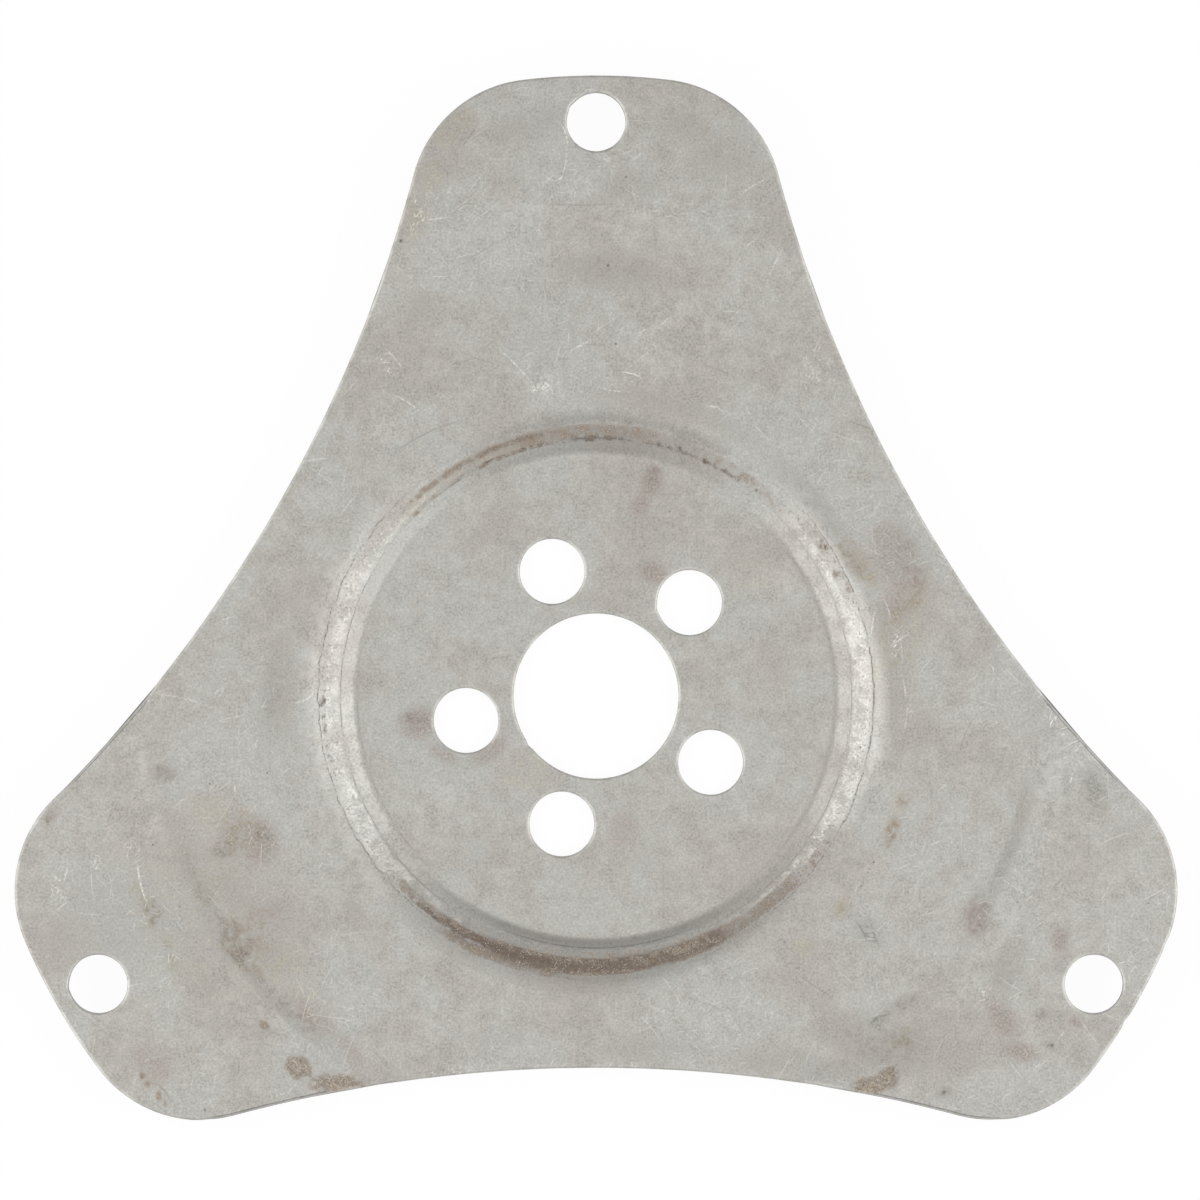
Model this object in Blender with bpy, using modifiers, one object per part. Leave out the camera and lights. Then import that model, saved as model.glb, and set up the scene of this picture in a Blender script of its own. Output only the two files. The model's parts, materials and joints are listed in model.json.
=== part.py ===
"""Flexplate: a three-lobed plate of pressed sheet steel that joins a crankshaft to a torque converter.

The plate is one sheet. Its middle is dished to a flat pad, which bolts to the crankshaft through five holes,
and the end of each lobe is set slightly proud and bolts to the converter through one hole. The sheet lies on
its pad. The origin is on the bore's axis, in the plane of the lower face of the sheet outside the dish.

Run with: blender --background --python part.py
"""
import math

import bmesh
import bpy
from mathutils import Vector

MM = 0.001

# Sheet
SHEET_THICKNESS = 2.0 * MM

# Crankshaft side: bore and a circle of bolt holes, whose angles are counted in degrees from the key hole
BORE_RADIUS = 15.75 * MM
CRANK_HOLE_RADIUS = 6.2 * MM
BORE_TO_CRANK_HOLE = 3.28 * MM
CRANK_CIRCLE_RADIUS = BORE_RADIUS + BORE_TO_CRANK_HOLE + CRANK_HOLE_RADIUS
CRANK_KEY_ANGLE = math.radians(-30.0)
CRANK_HOLE_STEPS = (0.0, 75.0, -75.0, 139.4, -139.4)

# Converter side: one bolt hole on the axis of each lobe
LOBE_COUNT = 3
FIRST_LOBE_ANGLE = math.radians(90.0)
CONVERTER_CIRCLE_RADIUS = 109.0 * MM
CONVERTER_HOLE_RADIUS = 5.575 * MM
HOLE_EDGE_BREAK = 0.35 * MM

# Outline: a tip arc about the axis, a corner arc at each of its ends and one hollow flank from lobe to lobe
CONVERTER_HOLE_TO_TIP = 3.225 * MM
TIP_RADIUS = CONVERTER_CIRCLE_RADIUS + CONVERTER_HOLE_RADIUS + CONVERTER_HOLE_TO_TIP
LOBE_WIDTH = 70.8 * MM
CORNER_RADIUS = 24.3 * MM
FLANK_RADIUS = 265.0 * MM

# Dish: pad, foot bend, conical wall and shoulder bend, with bend radii taken on the upper face
CRANK_HOLE_TO_PAD_EDGE = 14.27 * MM
PAD_RADIUS = CRANK_CIRCLE_RADIUS + CRANK_HOLE_RADIUS + CRANK_HOLE_TO_PAD_EDGE
DISH_DEPTH = 4.5 * MM
DISH_WALL_ANGLE = math.radians(28.5)
FOOT_BEND_RADIUS = 2.0 * MM
SHOULDER_BEND_RADIUS = 8.2 * MM

# Joggle that lifts the lobe ends, so far inside the converter holes
JOGGLE_INSET = 21.5 * MM
JOGGLE_RADIUS = CONVERTER_CIRCLE_RADIUS - JOGGLE_INSET
JOGGLE_RISE = 1.2 * MM
JOGGLE_ANGLE = math.radians(10.0)
JOGGLE_BEND_RADIUS = 25.0 * MM

# Fineness of the facets
TURN_STEPS = 96
BEND_STEPS = 4
JOGGLE_BEND_STEPS = 3
TIP_STEPS = 6
CORNER_STEPS = 12
FLANK_STEPS = 20
HOLE_STEPS = 40

# How far cutters and guides run past the sheet
OVERRUN = 5.0 * MM

# Points nearer than this are one point
WELD_DISTANCE = 0.002 * MM

STEEL_COLOR = (0.47, 0.455, 0.435, 1.0)
STEEL_ROUGHNESS = 0.55
STEEL_METALLIC = 0.85
SHARP_ANGLE = math.radians(30.0)


def clear_scene():
    """Remove every object of the open scene."""
    for old in list(bpy.data.objects):
        bpy.data.objects.remove(old, do_unlink=True)


def new_collection(name):
    """Return a new collection linked to the scene."""
    collection = bpy.data.collections.new(name)
    bpy.context.scene.collection.children.link(collection)
    return collection


def steel_material():
    """Return the bare rolled steel of the sheet."""
    material = bpy.data.materials.new("plate_steel")
    material.use_nodes = True
    shader = material.node_tree.nodes["Principled BSDF"]
    shader.inputs["Base Color"].default_value = STEEL_COLOR
    shader.inputs["Roughness"].default_value = STEEL_ROUGHNESS
    shader.inputs["Metallic"].default_value = STEEL_METALLIC
    return material


def polar(radius, angle):
    """Return the point at a radius and an angle in the plane of the sheet."""
    return Vector((radius * math.cos(angle), radius * math.sin(angle), 0.0))


def arc(centre, radius, start, end, steps):
    """Return the points of an arc, without its last one, so that arcs can follow one another."""
    return [centre + polar(radius, start + (end - start) * i / steps) for i in range(steps)]


def heading(vector):
    """Return the angle of a vector in the plane of the sheet."""
    return math.atan2(vector.y, vector.x)


def near(angle, reference):
    """Return the angle, turned by whole turns to within half a turn of the reference."""
    return reference + math.remainder(angle - reference, math.tau)


def tip_half_angle():
    """Return half the angle of a tip arc, which sets the corner arcs as far apart as the lobe is wide."""
    return math.asin((LOBE_WIDTH / 2 - CORNER_RADIUS) / (TIP_RADIUS - CORNER_RADIUS))


def flank_reach():
    """Return how far from the axis a flank arc has its centre, to be tangent to the corner arcs beside it."""
    corner_reach = TIP_RADIUS - CORNER_RADIUS
    corner_angle = math.pi / LOBE_COUNT - tip_half_angle()
    across = corner_reach * math.sin(corner_angle)
    along = corner_reach * math.cos(corner_angle)
    return along + math.sqrt((FLANK_RADIUS + CORNER_RADIUS) ** 2 - across**2)


def outline_points():
    """Return the outline of the blank, anticlockwise, as arcs that meet in tangents."""
    points = []
    half_tip = tip_half_angle()
    half_lobe = math.pi / LOBE_COUNT
    origin = Vector((0.0, 0.0, 0.0))
    for i in range(LOBE_COUNT):
        axis = FIRST_LOBE_ANGLE + 2 * half_lobe * i
        next_axis = axis + 2 * half_lobe
        near_corner = polar(TIP_RADIUS - CORNER_RADIUS, axis + half_tip)
        far_corner = polar(TIP_RADIUS - CORNER_RADIUS, next_axis - half_tip)
        flank = polar(flank_reach(), axis + half_lobe)
        leave = near(heading(flank - near_corner), axis + half_lobe)
        arrive = near(heading(flank - far_corner), axis + half_lobe)
        points += arc(origin, TIP_RADIUS, axis - half_tip, axis + half_tip, TIP_STEPS)
        points += arc(near_corner, CORNER_RADIUS, axis + half_tip, leave, CORNER_STEPS)
        points += arc(flank, FLANK_RADIUS, leave + math.pi, arrive + math.pi, FLANK_STEPS)
        points += arc(far_corner, CORNER_RADIUS, arrive, next_axis - half_tip, CORNER_STEPS)
    return points


def blank_prism(collection):
    """Return the outline of the blank as a tall prism that the turned sheet is trimmed to."""
    points = outline_points()
    height = DISH_DEPTH + JOGGLE_RISE + SHEET_THICKNESS + 2 * OVERRUN
    curve = bpy.data.curves.new("blank_outline", "CURVE")
    curve.dimensions = "2D"
    curve.fill_mode = "BOTH"
    curve.extrude = height / 2
    spline = curve.splines.new("POLY")
    spline.points.add(len(points) - 1)
    for spline_point, point in zip(spline.points, points):
        spline_point.co = (point.x, point.y, 0.0, 1.0)
    spline.use_cyclic_u = True
    outline = bpy.data.objects.new("blank_outline", curve)
    outline.location.z = (JOGGLE_RISE + SHEET_THICKNESS - DISH_DEPTH) / 2
    collection.objects.link(outline)
    bpy.context.view_layer.update()
    return curve_to_mesh(outline, "blank_prism", collection)


def curve_to_mesh(curve_object, name, collection):
    """Return a closed mesh object made of a filled curve, and remove the curve."""
    depsgraph = bpy.context.evaluated_depsgraph_get()
    mesh = bpy.data.meshes.new_from_object(curve_object.evaluated_get(depsgraph))
    shape = bmesh.new()
    shape.from_mesh(mesh)
    bmesh.ops.remove_doubles(shape, verts=shape.verts, dist=WELD_DISTANCE)
    bmesh.ops.recalc_face_normals(shape, faces=shape.faces)
    shape.to_mesh(mesh)
    shape.free()
    solid = bpy.data.objects.new(name, mesh)
    solid.matrix_world = curve_object.matrix_world
    collection.objects.link(solid)
    bpy.data.objects.remove(curve_object, do_unlink=True)
    return solid


def section_corners():
    """Return the corners of the sheet's middle line as (radius, height, bend radius, bend steps)."""
    half = SHEET_THICKNESS / 2
    pad_height = half - DISH_DEPTH
    foot_bend = FOOT_BEND_RADIUS + half
    shoulder_bend = SHOULDER_BEND_RADIUS - half
    foot = PAD_RADIUS + foot_bend * math.tan(DISH_WALL_ANGLE / 2)
    shoulder = foot + DISH_DEPTH / math.tan(DISH_WALL_ANGLE)
    joggle_run = JOGGLE_RISE / math.tan(JOGGLE_ANGLE)
    return [
        (foot, pad_height, foot_bend, BEND_STEPS),
        (shoulder, half, shoulder_bend, BEND_STEPS),
        (JOGGLE_RADIUS - joggle_run / 2, half, JOGGLE_BEND_RADIUS, JOGGLE_BEND_STEPS),
        (JOGGLE_RADIUS + joggle_run / 2, half + JOGGLE_RISE, JOGGLE_BEND_RADIUS, JOGGLE_BEND_STEPS),
    ]


def middle_line():
    """Return the sheet's middle line, outwards from the bore, as pairs of a point and the way up there."""
    corners = section_corners()
    start = Vector((BORE_RADIUS + HOLE_EDGE_BREAK, corners[0][1]))
    end = Vector((TIP_RADIUS + OVERRUN, corners[-1][1]))
    places = [start] + [Vector(corner[:2]) for corner in corners] + [end]
    upright = Vector((0.0, 1.0))
    line = [(start, upright)]
    for before, place, after, corner in zip(places, places[1:], places[2:], corners):
        bend_radius, steps = corner[2:]
        arriving = (place - before).normalized()
        leaving = (after - place).normalized()
        first = math.atan2(arriving.y, arriving.x)
        last = math.atan2(leaving.y, leaving.x)
        side = math.copysign(1.0, last - first)
        tangent = bend_radius * math.tan(abs(last - first) / 2)
        centre = place - arriving * tangent + side * bend_radius * arriving.orthogonal()
        for i in range(steps + 1):
            slope = first + (last - first) * i / steps
            up = Vector((-math.sin(slope), math.cos(slope)))
            line.append((centre - side * bend_radius * up, up))
    line.append((end, upright))
    return line


def sheet_section():
    """Return the closed section of the sheet: out along the upper face and back along the lower one."""
    half = SHEET_THICKNESS / 2
    line = middle_line()
    upper = [point + up * half for point, up in line]
    lower = [point - up * half for point, up in reversed(line)]
    bore_top = Vector((BORE_RADIUS, upper[0].y - HOLE_EDGE_BREAK))
    bore_bottom = Vector((BORE_RADIUS, lower[-1].y))
    return upper + lower[:-1] + [bore_bottom, bore_top]


def turned(name, section, closed, steps, collection):
    """Return a solid turned about Z from a section of (radius, height) that runs down its outer side."""
    mesh = bpy.data.meshes.new(name)
    edges = [(i, i + 1) for i in range(len(section) - 1)]
    if closed:
        edges.append((len(section) - 1, 0))
    mesh.from_pydata([(point[0], 0.0, point[1]) for point in section], edges, [])
    solid = bpy.data.objects.new(name, mesh)
    collection.objects.link(solid)
    screw = solid.modifiers.new("turn", "SCREW")
    screw.axis = "Z"
    screw.angle = math.tau
    screw.steps = steps
    screw.render_steps = steps
    screw.use_merge_vertices = True
    screw.merge_threshold = WELD_DISTANCE
    return solid


def hole_cutter(name, radius, face_height, collection):
    """Return a punch for one hole, flared where it leaves the sheet's upper face."""
    top = face_height + OVERRUN
    bottom = face_height - SHEET_THICKNESS - OVERRUN
    section = [
        (0.0, top),
        (radius + HOLE_EDGE_BREAK + OVERRUN, top),
        (radius, face_height - HOLE_EDGE_BREAK),
        (radius, bottom),
        (0.0, bottom),
    ]
    return turned(name, section, False, HOLE_STEPS, collection)


def crank_hole_cutters(collection):
    """Return the punches of the crankshaft holes, set out from the key direction."""
    face_height = SHEET_THICKNESS - DISH_DEPTH
    cutters = []
    for number, step in enumerate(CRANK_HOLE_STEPS, start=1):
        cutter = hole_cutter(f"crank_hole_{number}", CRANK_HOLE_RADIUS, face_height, collection)
        cutter.location = polar(CRANK_CIRCLE_RADIUS, CRANK_KEY_ANGLE + math.radians(step))
        cutters.append(cutter)
    return cutters


def converter_hole_cutters(collection):
    """Return the punches of the converter holes, one on each lobe's axis."""
    face_height = SHEET_THICKNESS + JOGGLE_RISE
    cutters = []
    for number in range(LOBE_COUNT):
        cutter = hole_cutter(f"converter_hole_{number + 1}", CONVERTER_HOLE_RADIUS, face_height, collection)
        cutter.location = polar(CONVERTER_CIRCLE_RADIUS, FIRST_LOBE_ANGLE + math.tau * number / LOBE_COUNT)
        cutters.append(cutter)
    return cutters


def cut(solid, cutter, operation):
    """Add a Boolean of a solid with a cutter, and hide the cutter."""
    boolean = solid.modifiers.new(cutter.name, "BOOLEAN")
    boolean.operation = operation
    boolean.object = cutter
    boolean.solver = "EXACT"
    cutter.hide_render = True
    cutter.display_type = "WIRE"


def bake(solid):
    """Turn a solid's modifiers into its mesh, smooth but for its sharp edges."""
    bpy.context.view_layer.update()
    depsgraph = bpy.context.evaluated_depsgraph_get()
    section = solid.data
    mesh = bpy.data.meshes.new_from_object(solid.evaluated_get(depsgraph))
    shape = bmesh.new()
    shape.from_mesh(mesh)
    bmesh.ops.remove_doubles(shape, verts=shape.verts, dist=WELD_DISTANCE)
    bmesh.ops.dissolve_degenerate(shape, edges=shape.edges, dist=WELD_DISTANCE)
    shape.to_mesh(mesh)
    shape.free()
    solid.modifiers.clear()
    solid.data = mesh
    bpy.data.meshes.remove(section)
    mesh.name = solid.name
    mesh.shade_smooth()
    mesh.set_sharp_from_angle(angle=SHARP_ANGLE)


def flexplate(parts, cutters):
    """Make the plate: turn the formed sheet, trim it to the blank's outline and punch its holes."""
    plate = turned("flexplate", sheet_section(), True, TURN_STEPS, parts)
    cut(plate, blank_prism(cutters), "INTERSECT")
    for cutter in crank_hole_cutters(cutters) + converter_hole_cutters(cutters):
        cut(plate, cutter, "DIFFERENCE")
    bake(plate)
    plate.data.materials.clear()
    plate.data.materials.append(steel_material())


def main():
    clear_scene()
    parts = new_collection("flexplate")
    cutters = new_collection("flexplate_cutters")
    flexplate(parts, cutters)


main()
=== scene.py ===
"""Flexplate: a used three-lobed plate of pressed sheet steel, lying on its pad in a plain studio.

The sheet is made as a press shop makes it. A flat blank is cut to its outline and its holes are
pierced, it is given its thickness and the rolled edges that punching leaves, and then it is
pressed to its section.
"""
import json
import math

import bmesh
import bpy
import numpy as np
from bpy.props import FloatProperty, FloatVectorProperty, PointerProperty
from mathutils import Matrix, Vector, noise


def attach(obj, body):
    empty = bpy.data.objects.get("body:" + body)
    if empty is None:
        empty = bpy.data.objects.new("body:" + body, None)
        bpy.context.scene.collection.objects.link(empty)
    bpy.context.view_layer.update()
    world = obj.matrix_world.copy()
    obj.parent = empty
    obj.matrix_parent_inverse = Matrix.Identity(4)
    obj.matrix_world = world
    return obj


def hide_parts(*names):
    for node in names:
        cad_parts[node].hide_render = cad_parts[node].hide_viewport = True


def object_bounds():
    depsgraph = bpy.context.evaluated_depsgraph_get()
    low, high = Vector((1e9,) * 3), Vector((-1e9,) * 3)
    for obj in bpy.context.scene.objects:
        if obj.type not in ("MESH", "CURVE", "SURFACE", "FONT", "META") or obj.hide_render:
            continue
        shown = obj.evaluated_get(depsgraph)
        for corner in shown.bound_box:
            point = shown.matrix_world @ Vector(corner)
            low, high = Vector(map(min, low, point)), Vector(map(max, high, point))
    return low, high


bl_info = {
    "name": "Flexplate",
    "version": (1, 0, 0),
    "blender": (4, 5, 0),
    "location": "View3D > Sidebar > Flexplate",
    "description": "Models a used flexplate of pressed sheet steel and a studio for it",
    "category": "Add Mesh",
}

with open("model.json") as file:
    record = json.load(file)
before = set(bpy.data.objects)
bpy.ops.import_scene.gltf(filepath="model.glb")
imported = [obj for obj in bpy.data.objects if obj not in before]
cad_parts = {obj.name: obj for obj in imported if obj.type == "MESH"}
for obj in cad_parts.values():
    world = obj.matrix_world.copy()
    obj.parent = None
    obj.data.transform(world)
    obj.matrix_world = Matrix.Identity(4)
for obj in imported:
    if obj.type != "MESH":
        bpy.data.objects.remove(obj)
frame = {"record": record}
CAD_LOW, CAD_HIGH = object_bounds()

MM = 0.001

# Stated openings that show where the holes are
CRANK_OPENING = "crank_bolt_hole"
CONVERTER_OPENING = "converter_bolt_hole"

LOBE_COUNT = 3
FIRST_LOBE_ANGLE = math.radians(90.0)


def length_setting(name, description, default_mm):
    """Return a length property in metres whose default is given in millimetres."""
    return FloatProperty(
        name=name,
        description=description,
        default=default_mm * MM,
        unit="LENGTH",
        subtype="DISTANCE",
        precision=5,
    )


def angle_setting(name, description, default_degrees):
    """Return an angle property whose default is given in degrees."""
    default = math.radians(default_degrees)
    return FloatProperty(name=name, description=description, default=default, subtype="ANGLE")


def power_setting(name, description, default_watts):
    """Return a lamp's power in watts, or a strength of light, as a plain number property."""
    return FloatProperty(name=name, description=description, default=default_watts)


def colour_setting(name, description, red, green, blue):
    """Return a colour property whose default is given in 8-bit display values."""
    default = [display_to_linear(value / 255) for value in (red, green, blue)]
    return FloatVectorProperty(
        name=name,
        description=description,
        default=default,
        subtype="COLOR",
        min=0,
        max=1,
    )


def display_to_linear(value):
    """Return the linear light of a display value between 0 and 1."""
    return value / 12.92 if value <= 0.04045 else ((value + 0.055) / 1.055) ** 2.4


class PlateSizes(bpy.types.PropertyGroup):
    """Sizes of the sheet, as in the solid."""

    thickness: length_setting("Sheet", "Thickness of the sheet", 2.0)
    bore: length_setting("Bore", "Radius of the bore", 15.75)
    crank_hole: length_setting("Crank hole", "Radius of a crankshaft bolt hole", 6.2)
    converter_hole: length_setting("Converter hole", "Radius of a converter bolt hole", 5.575)
    tip: length_setting("Tip", "Radius of the lobe tips about the axis", 117.8)
    corner: length_setting("Corner", "Radius of the lobes' corners", 24.3)
    flank: length_setting("Flank", "Radius of the hollow flanks", 265.0)
    lobe_width: length_setting("Lobe width", "Width of a lobe across its corners", 70.8)
    pad: length_setting("Pad", "Radius of the flat pad", 45.7)
    dish_depth: length_setting("Dish depth", "Depth of the pad below the field", 4.5)
    wall_angle: angle_setting("Wall angle", "Slope of the dish's wall", 28.5)
    foot_bend: length_setting("Foot bend", "Upper radius of the bend from pad to wall", 2.0)
    shoulder_bend: length_setting("Shoulder bend", "Upper radius of the bend to the field", 8.2)
    joggle: length_setting("Joggle", "Radius at the middle of the joggle", 87.5)
    joggle_rise: length_setting("Joggle rise", "Rise of the lobe ends over the field", 1.2)
    joggle_angle: angle_setting("Joggle angle", "Slope of the joggle", 10.0)
    joggle_bend: length_setting("Joggle bend", "Radius of the joggle's bends", 25.0)
    roll_width: length_setting("Edge roll width", "How far in the upper edges roll over", 0.55)
    roll_depth: length_setting("Edge roll depth", "How deep the upper edges roll over", 0.28)
    burr_break: length_setting("Lower edge break", "Width of the break along the lower edges", 0.12)
    warp: length_setting("Warp", "Depth of the shallow waves in the sheet", 0.12)
    galling: length_setting("Galling", "Depth of the torn surface round the dish's wall", 0.1)


class SteelColours(bpy.types.PropertyGroup):
    """Colours of the steel, of what has settled on it, and of painted shade and highlights."""

    steel: colour_setting("Steel", "Dull bare steel", 185, 182, 176)
    cool: colour_setting("Cool haze", "Bluish haze on the steel", 186, 185, 180)
    warm: colour_setting("Warm haze", "Brownish haze on the steel", 181, 177, 171)
    # Also the colour of painted highlights: on the bends of the dish and joggles, along the rolled
    # edges, and a few glints.
    bright: colour_setting("Bright steel", "Freshly scratched steel", 236, 234, 228)
    dirt: colour_setting("Dirt", "Dirt in pits, lines and smears", 98, 93, 88)
    # This tint also paints shade round the dish and in the joggles' lower bends.
    smear_and_shade: colour_setting("Smear tint", "What smeared dirt lets through", 213, 210, 207)
    violet: colour_setting("Violet tint", "What violet-brown stains let through", 230, 220, 216)
    olive: colour_setting("Olive tint", "What yellow-brown stains let through", 247, 243, 231)
    rust: colour_setting("Rust tint", "What thin rust lets through", 226, 210, 192)
    crust: colour_setting("Crust", "Thick rusty crust round the dish", 113, 96, 81)
    scale: colour_setting("Scale", "The lighter lumps of the crust", 143, 127, 110)
    soot: colour_setting("Black rust", "Black-brown flecks in the crust", 84, 68, 56)


class StudioSettings(bpy.types.PropertyGroup):
    """Light, floor and camera."""

    camera_height: length_setting("Camera height", "Height of the camera over the sheet", 1100.0)
    view_width: length_setting("View width", "Width seen at the level of the field", 228.1)
    centre_x: length_setting("Centre X", "Where the camera looks, across", 0.75)
    centre_y: length_setting("Centre Y", "Where the camera looks, up the picture", 18.33)
    side_power: power_setting("Side lamps", "Power of each side lamp in watts", 10.2)
    top_power: power_setting("Top lamp", "Power of the lamp overhead in watts", 6.6)
    fill: power_setting("Fill", "Strength of the light from all round", 0.29)
    floor: colour_setting("Floor", "Pale floor", 250, 250, 250)


# The blank and the press

RING_STEP_PAD = 1.6 * MM
RING_STEP_BENDS = 0.5 * MM
RING_STEP_FIELD = 1.4 * MM
EDGE_RING = 0.7 * MM
OUTLINE_PLAY = 0.02 * MM
CUT_CLEARANCE = 1.15 * MM
BEND_MARGIN = 1.5 * MM
AROUND_STEPS = 432
HOLE_STEPS = 72
HALF_LOBE_STEPS = 136
OUTLINE_STEPS = 2 * LOBE_COUNT * HALF_LOBE_STEPS
ROLL_SEGMENTS = 4

# How far off a place may be and still lie level, and how far a normal may lean on a wall
LEVEL = 1e-6
UPRIGHT = 0.01

# Which stretch of the section is the flat field
FIELD_STRETCH = 4


def outline_arcs(sizes):
    """Return half a lobe's outline, from its tip to the waist, as arcs.

    Each is given by its centre, its radius, and its start and end angle.
    """
    half_lobe = math.pi / LOBE_COUNT
    half_tip = math.asin((sizes.lobe_width / 2 - sizes.corner) / (sizes.tip - sizes.corner))
    corner_centre = Matrix.Rotation(half_tip, 2) @ Vector((sizes.tip - sizes.corner, 0.0))
    across = corner_centre.length * math.sin(half_lobe - half_tip)
    along = corner_centre.length * math.cos(half_lobe - half_tip)
    flank_reach = along + math.sqrt((sizes.flank + sizes.corner) ** 2 - across**2)
    flank_centre = Matrix.Rotation(half_lobe, 2) @ Vector((flank_reach, 0.0))
    joint = flank_centre - corner_centre
    joint_angle = math.atan2(joint.y, joint.x)
    return [
        (Vector((0.0, 0.0)), sizes.tip, 0.0, half_tip),
        (corner_centre, sizes.corner, half_tip, joint_angle),
        (flank_centre, -sizes.flank, joint_angle, half_lobe),
    ]


def outline_place(arcs, share, inset):
    """Return the place at a share of the way round the outline, set in from it."""
    lengths = [abs(radius * (end - start)) for _, radius, start, end in arcs]
    half_lobes = 2 * LOBE_COUNT
    number, part = divmod(share * half_lobes, 1.0)
    is_far_side = int(number) % 2 == 1
    left = sum(lengths) * (1 - part if is_far_side else part)
    for (centre, radius, start, end), length in zip(arcs, lengths):
        if left <= length or length == lengths[-1]:
            break
        left -= length
    angle = start + (end - start) * min(1.0, left / length)
    place = centre + (radius - inset) * Vector((math.cos(angle), math.sin(angle)))
    if is_far_side:
        place.y = -place.y
    turn = FIRST_LOBE_ANGLE + math.tau / LOBE_COUNT * ((int(number) + 1) // 2)
    return Vector((*(Matrix.Rotation(turn, 2) @ place), 0.0))


def outline_distance(arcs, place):
    """Return how far inside the outline a place is."""
    half_lobe = math.pi / LOBE_COUNT
    turn = abs(math.remainder(math.atan2(place.y, place.x) - FIRST_LOBE_ANGLE, 2 * half_lobe))
    folded = Matrix.Rotation(turn, 2) @ Vector((place.xy.length, 0.0))
    tip, corner, flank = arcs
    from_corner = folded - corner[0]
    if turn <= tip[3]:
        return tip[1] - folded.length
    if corner[2] <= math.atan2(from_corner.y, from_corner.x) <= corner[3]:
        return corner[1] - from_corner.length
    return (folded - flank[0]).length + flank[1]


def section_corners(sizes):
    """Return the corners of the sheet's middle line as (radius, height, bend radius)."""
    half = sizes.thickness / 2
    foot_bend = sizes.foot_bend + half
    shoulder_bend = sizes.shoulder_bend - half
    foot = sizes.pad + foot_bend * math.tan(sizes.wall_angle / 2)
    shoulder = foot + sizes.dish_depth / math.tan(sizes.wall_angle)
    joggle_run = sizes.joggle_rise / math.tan(sizes.joggle_angle)
    return [
        (foot, half - sizes.dish_depth, foot_bend),
        (shoulder, half, shoulder_bend),
        (sizes.joggle - joggle_run / 2, half, sizes.joggle_bend),
        (sizes.joggle + joggle_run / 2, half + sizes.joggle_rise, sizes.joggle_bend),
    ]


def section_stretches(sizes):
    """Return the middle line as stretches of (start radius, height and slope, curvature)."""
    corners = section_corners(sizes)
    ends = [(0.0, corners[0][1])]
    ends += [corner[:2] for corner in corners]
    ends += [(sizes.tip, corners[-1][1])]
    slopes = [math.atan2(b[1] - a[1], b[0] - a[0]) for a, b in zip(ends, ends[1:])]
    stretches = [(0.0, corners[0][1], 0.0, 0.0)]
    for (radius, height, bend), arriving, leaving in zip(corners, slopes, slopes[1:]):
        tangent = bend * math.tan(abs(leaving - arriving) / 2)
        curvature = math.copysign(1 / bend, leaving - arriving)
        start = (radius - tangent * math.cos(arriving), height - tangent * math.sin(arriving))
        end = (radius + tangent * math.cos(leaving), height + tangent * math.sin(leaving))
        stretches.append((*start, arriving, curvature))
        stretches.append((*end, leaving, 0.0))
    return stretches


def pressed_place(stretches, radius):
    """Return the height and slope of the middle line at a radius."""
    start, height, slope, curvature = [stretch for stretch in stretches if stretch[0] <= radius][-1]
    if curvature == 0.0:
        return height + (radius - start) * math.tan(slope), slope
    turned = math.asin(math.sin(slope) + curvature * (radius - start))
    return height + (math.cos(slope) - math.cos(turned)) / curvature, turned


def evenly(start, end, step):
    """Return places from start up to, but without, end, about a step apart."""
    count = max(1, round((end - start) / step))
    return [start + (end - start) * i / count for i in range(count)]


def flat_disc(sizes):
    """Return a flat round of sheet with its bore, in rings that lie closest at the bends."""
    bends_start = sizes.pad - BEND_MARGIN
    bends_end = section_stretches(sizes)[FIELD_STRETCH][0] + BEND_MARGIN
    radii = [sizes.bore] + evenly(sizes.bore + EDGE_RING, bends_start, RING_STEP_PAD)
    radii += evenly(bends_start, bends_end, RING_STEP_BENDS)
    radii += evenly(bends_end, sizes.tip, RING_STEP_FIELD) + [sizes.tip]
    shape = bmesh.new()
    line = [shape.verts.new((radius, 0.0, 0.0)) for radius in radii]
    edges = [shape.edges.new(pair) for pair in zip(line, line[1:])]
    bmesh.ops.spin(
        shape,
        geom=line + edges,
        cent=(0, 0, 0),
        axis=(0, 0, 1),
        angle=math.tau,
        steps=AROUND_STEPS,
        use_merge=True,
    )
    return shape


def hole_centres(name):
    """Return the middles of the stated openings whose names start so, in the plane of the sheet."""
    centres = []
    for opening in frame["record"]["physics"]["openings"]:
        if opening["name"].startswith(name):
            low, high = opening["box_m"]
            centres.append(Vector(((low[0] + high[0]) / 2, (low[1] + high[1]) / 2, 0.0)))
    return centres


def closed_line(shape, steps, place_at):
    """Draw a closed line through places at equal shares of the way round, and return its edges."""
    circle = bmesh.ops.create_circle(shape, segments=steps, radius=1.0)["verts"]
    for number, vert in enumerate(circle):
        vert.co = place_at(number / steps)
    return list({edge for vert in circle for edge in vert.link_edges})


def clear_away(shape, is_near):
    """Take away the faces near a cut and those that hang by a corner. Return the gap's edges."""
    rims = {edge for edge in shape.edges if edge.is_boundary}
    loose = {vert for vert in shape.verts if is_near(vert.co)}
    while loose:
        faces = list({face for vert in loose for face in vert.link_faces})
        bmesh.ops.delete(shape, geom=faces, context="FACES")
        gap = [edge for edge in shape.edges if edge.is_boundary and edge not in rims]
        corners = {vert for edge in gap for vert in edge.verts}
        loose = {vert for vert in corners if sum(edge.is_boundary for edge in vert.link_edges) > 2}
    return gap


def cut_along(shape, steps, place_at, is_near):
    """Cut the flat blank along a closed line, and lay one even ring of faces beside the cut."""
    gap = clear_away(shape, is_near)
    rim = closed_line(shape, steps, lambda share: place_at(share, 0.0))
    ring = closed_line(shape, steps, lambda share: place_at(share, EDGE_RING))
    bmesh.ops.bridge_loops(shape, edges=rim + ring)
    bmesh.ops.triangle_fill(shape, edges=gap + ring, use_beauty=True, normal=(0, 0, 1))


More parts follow.
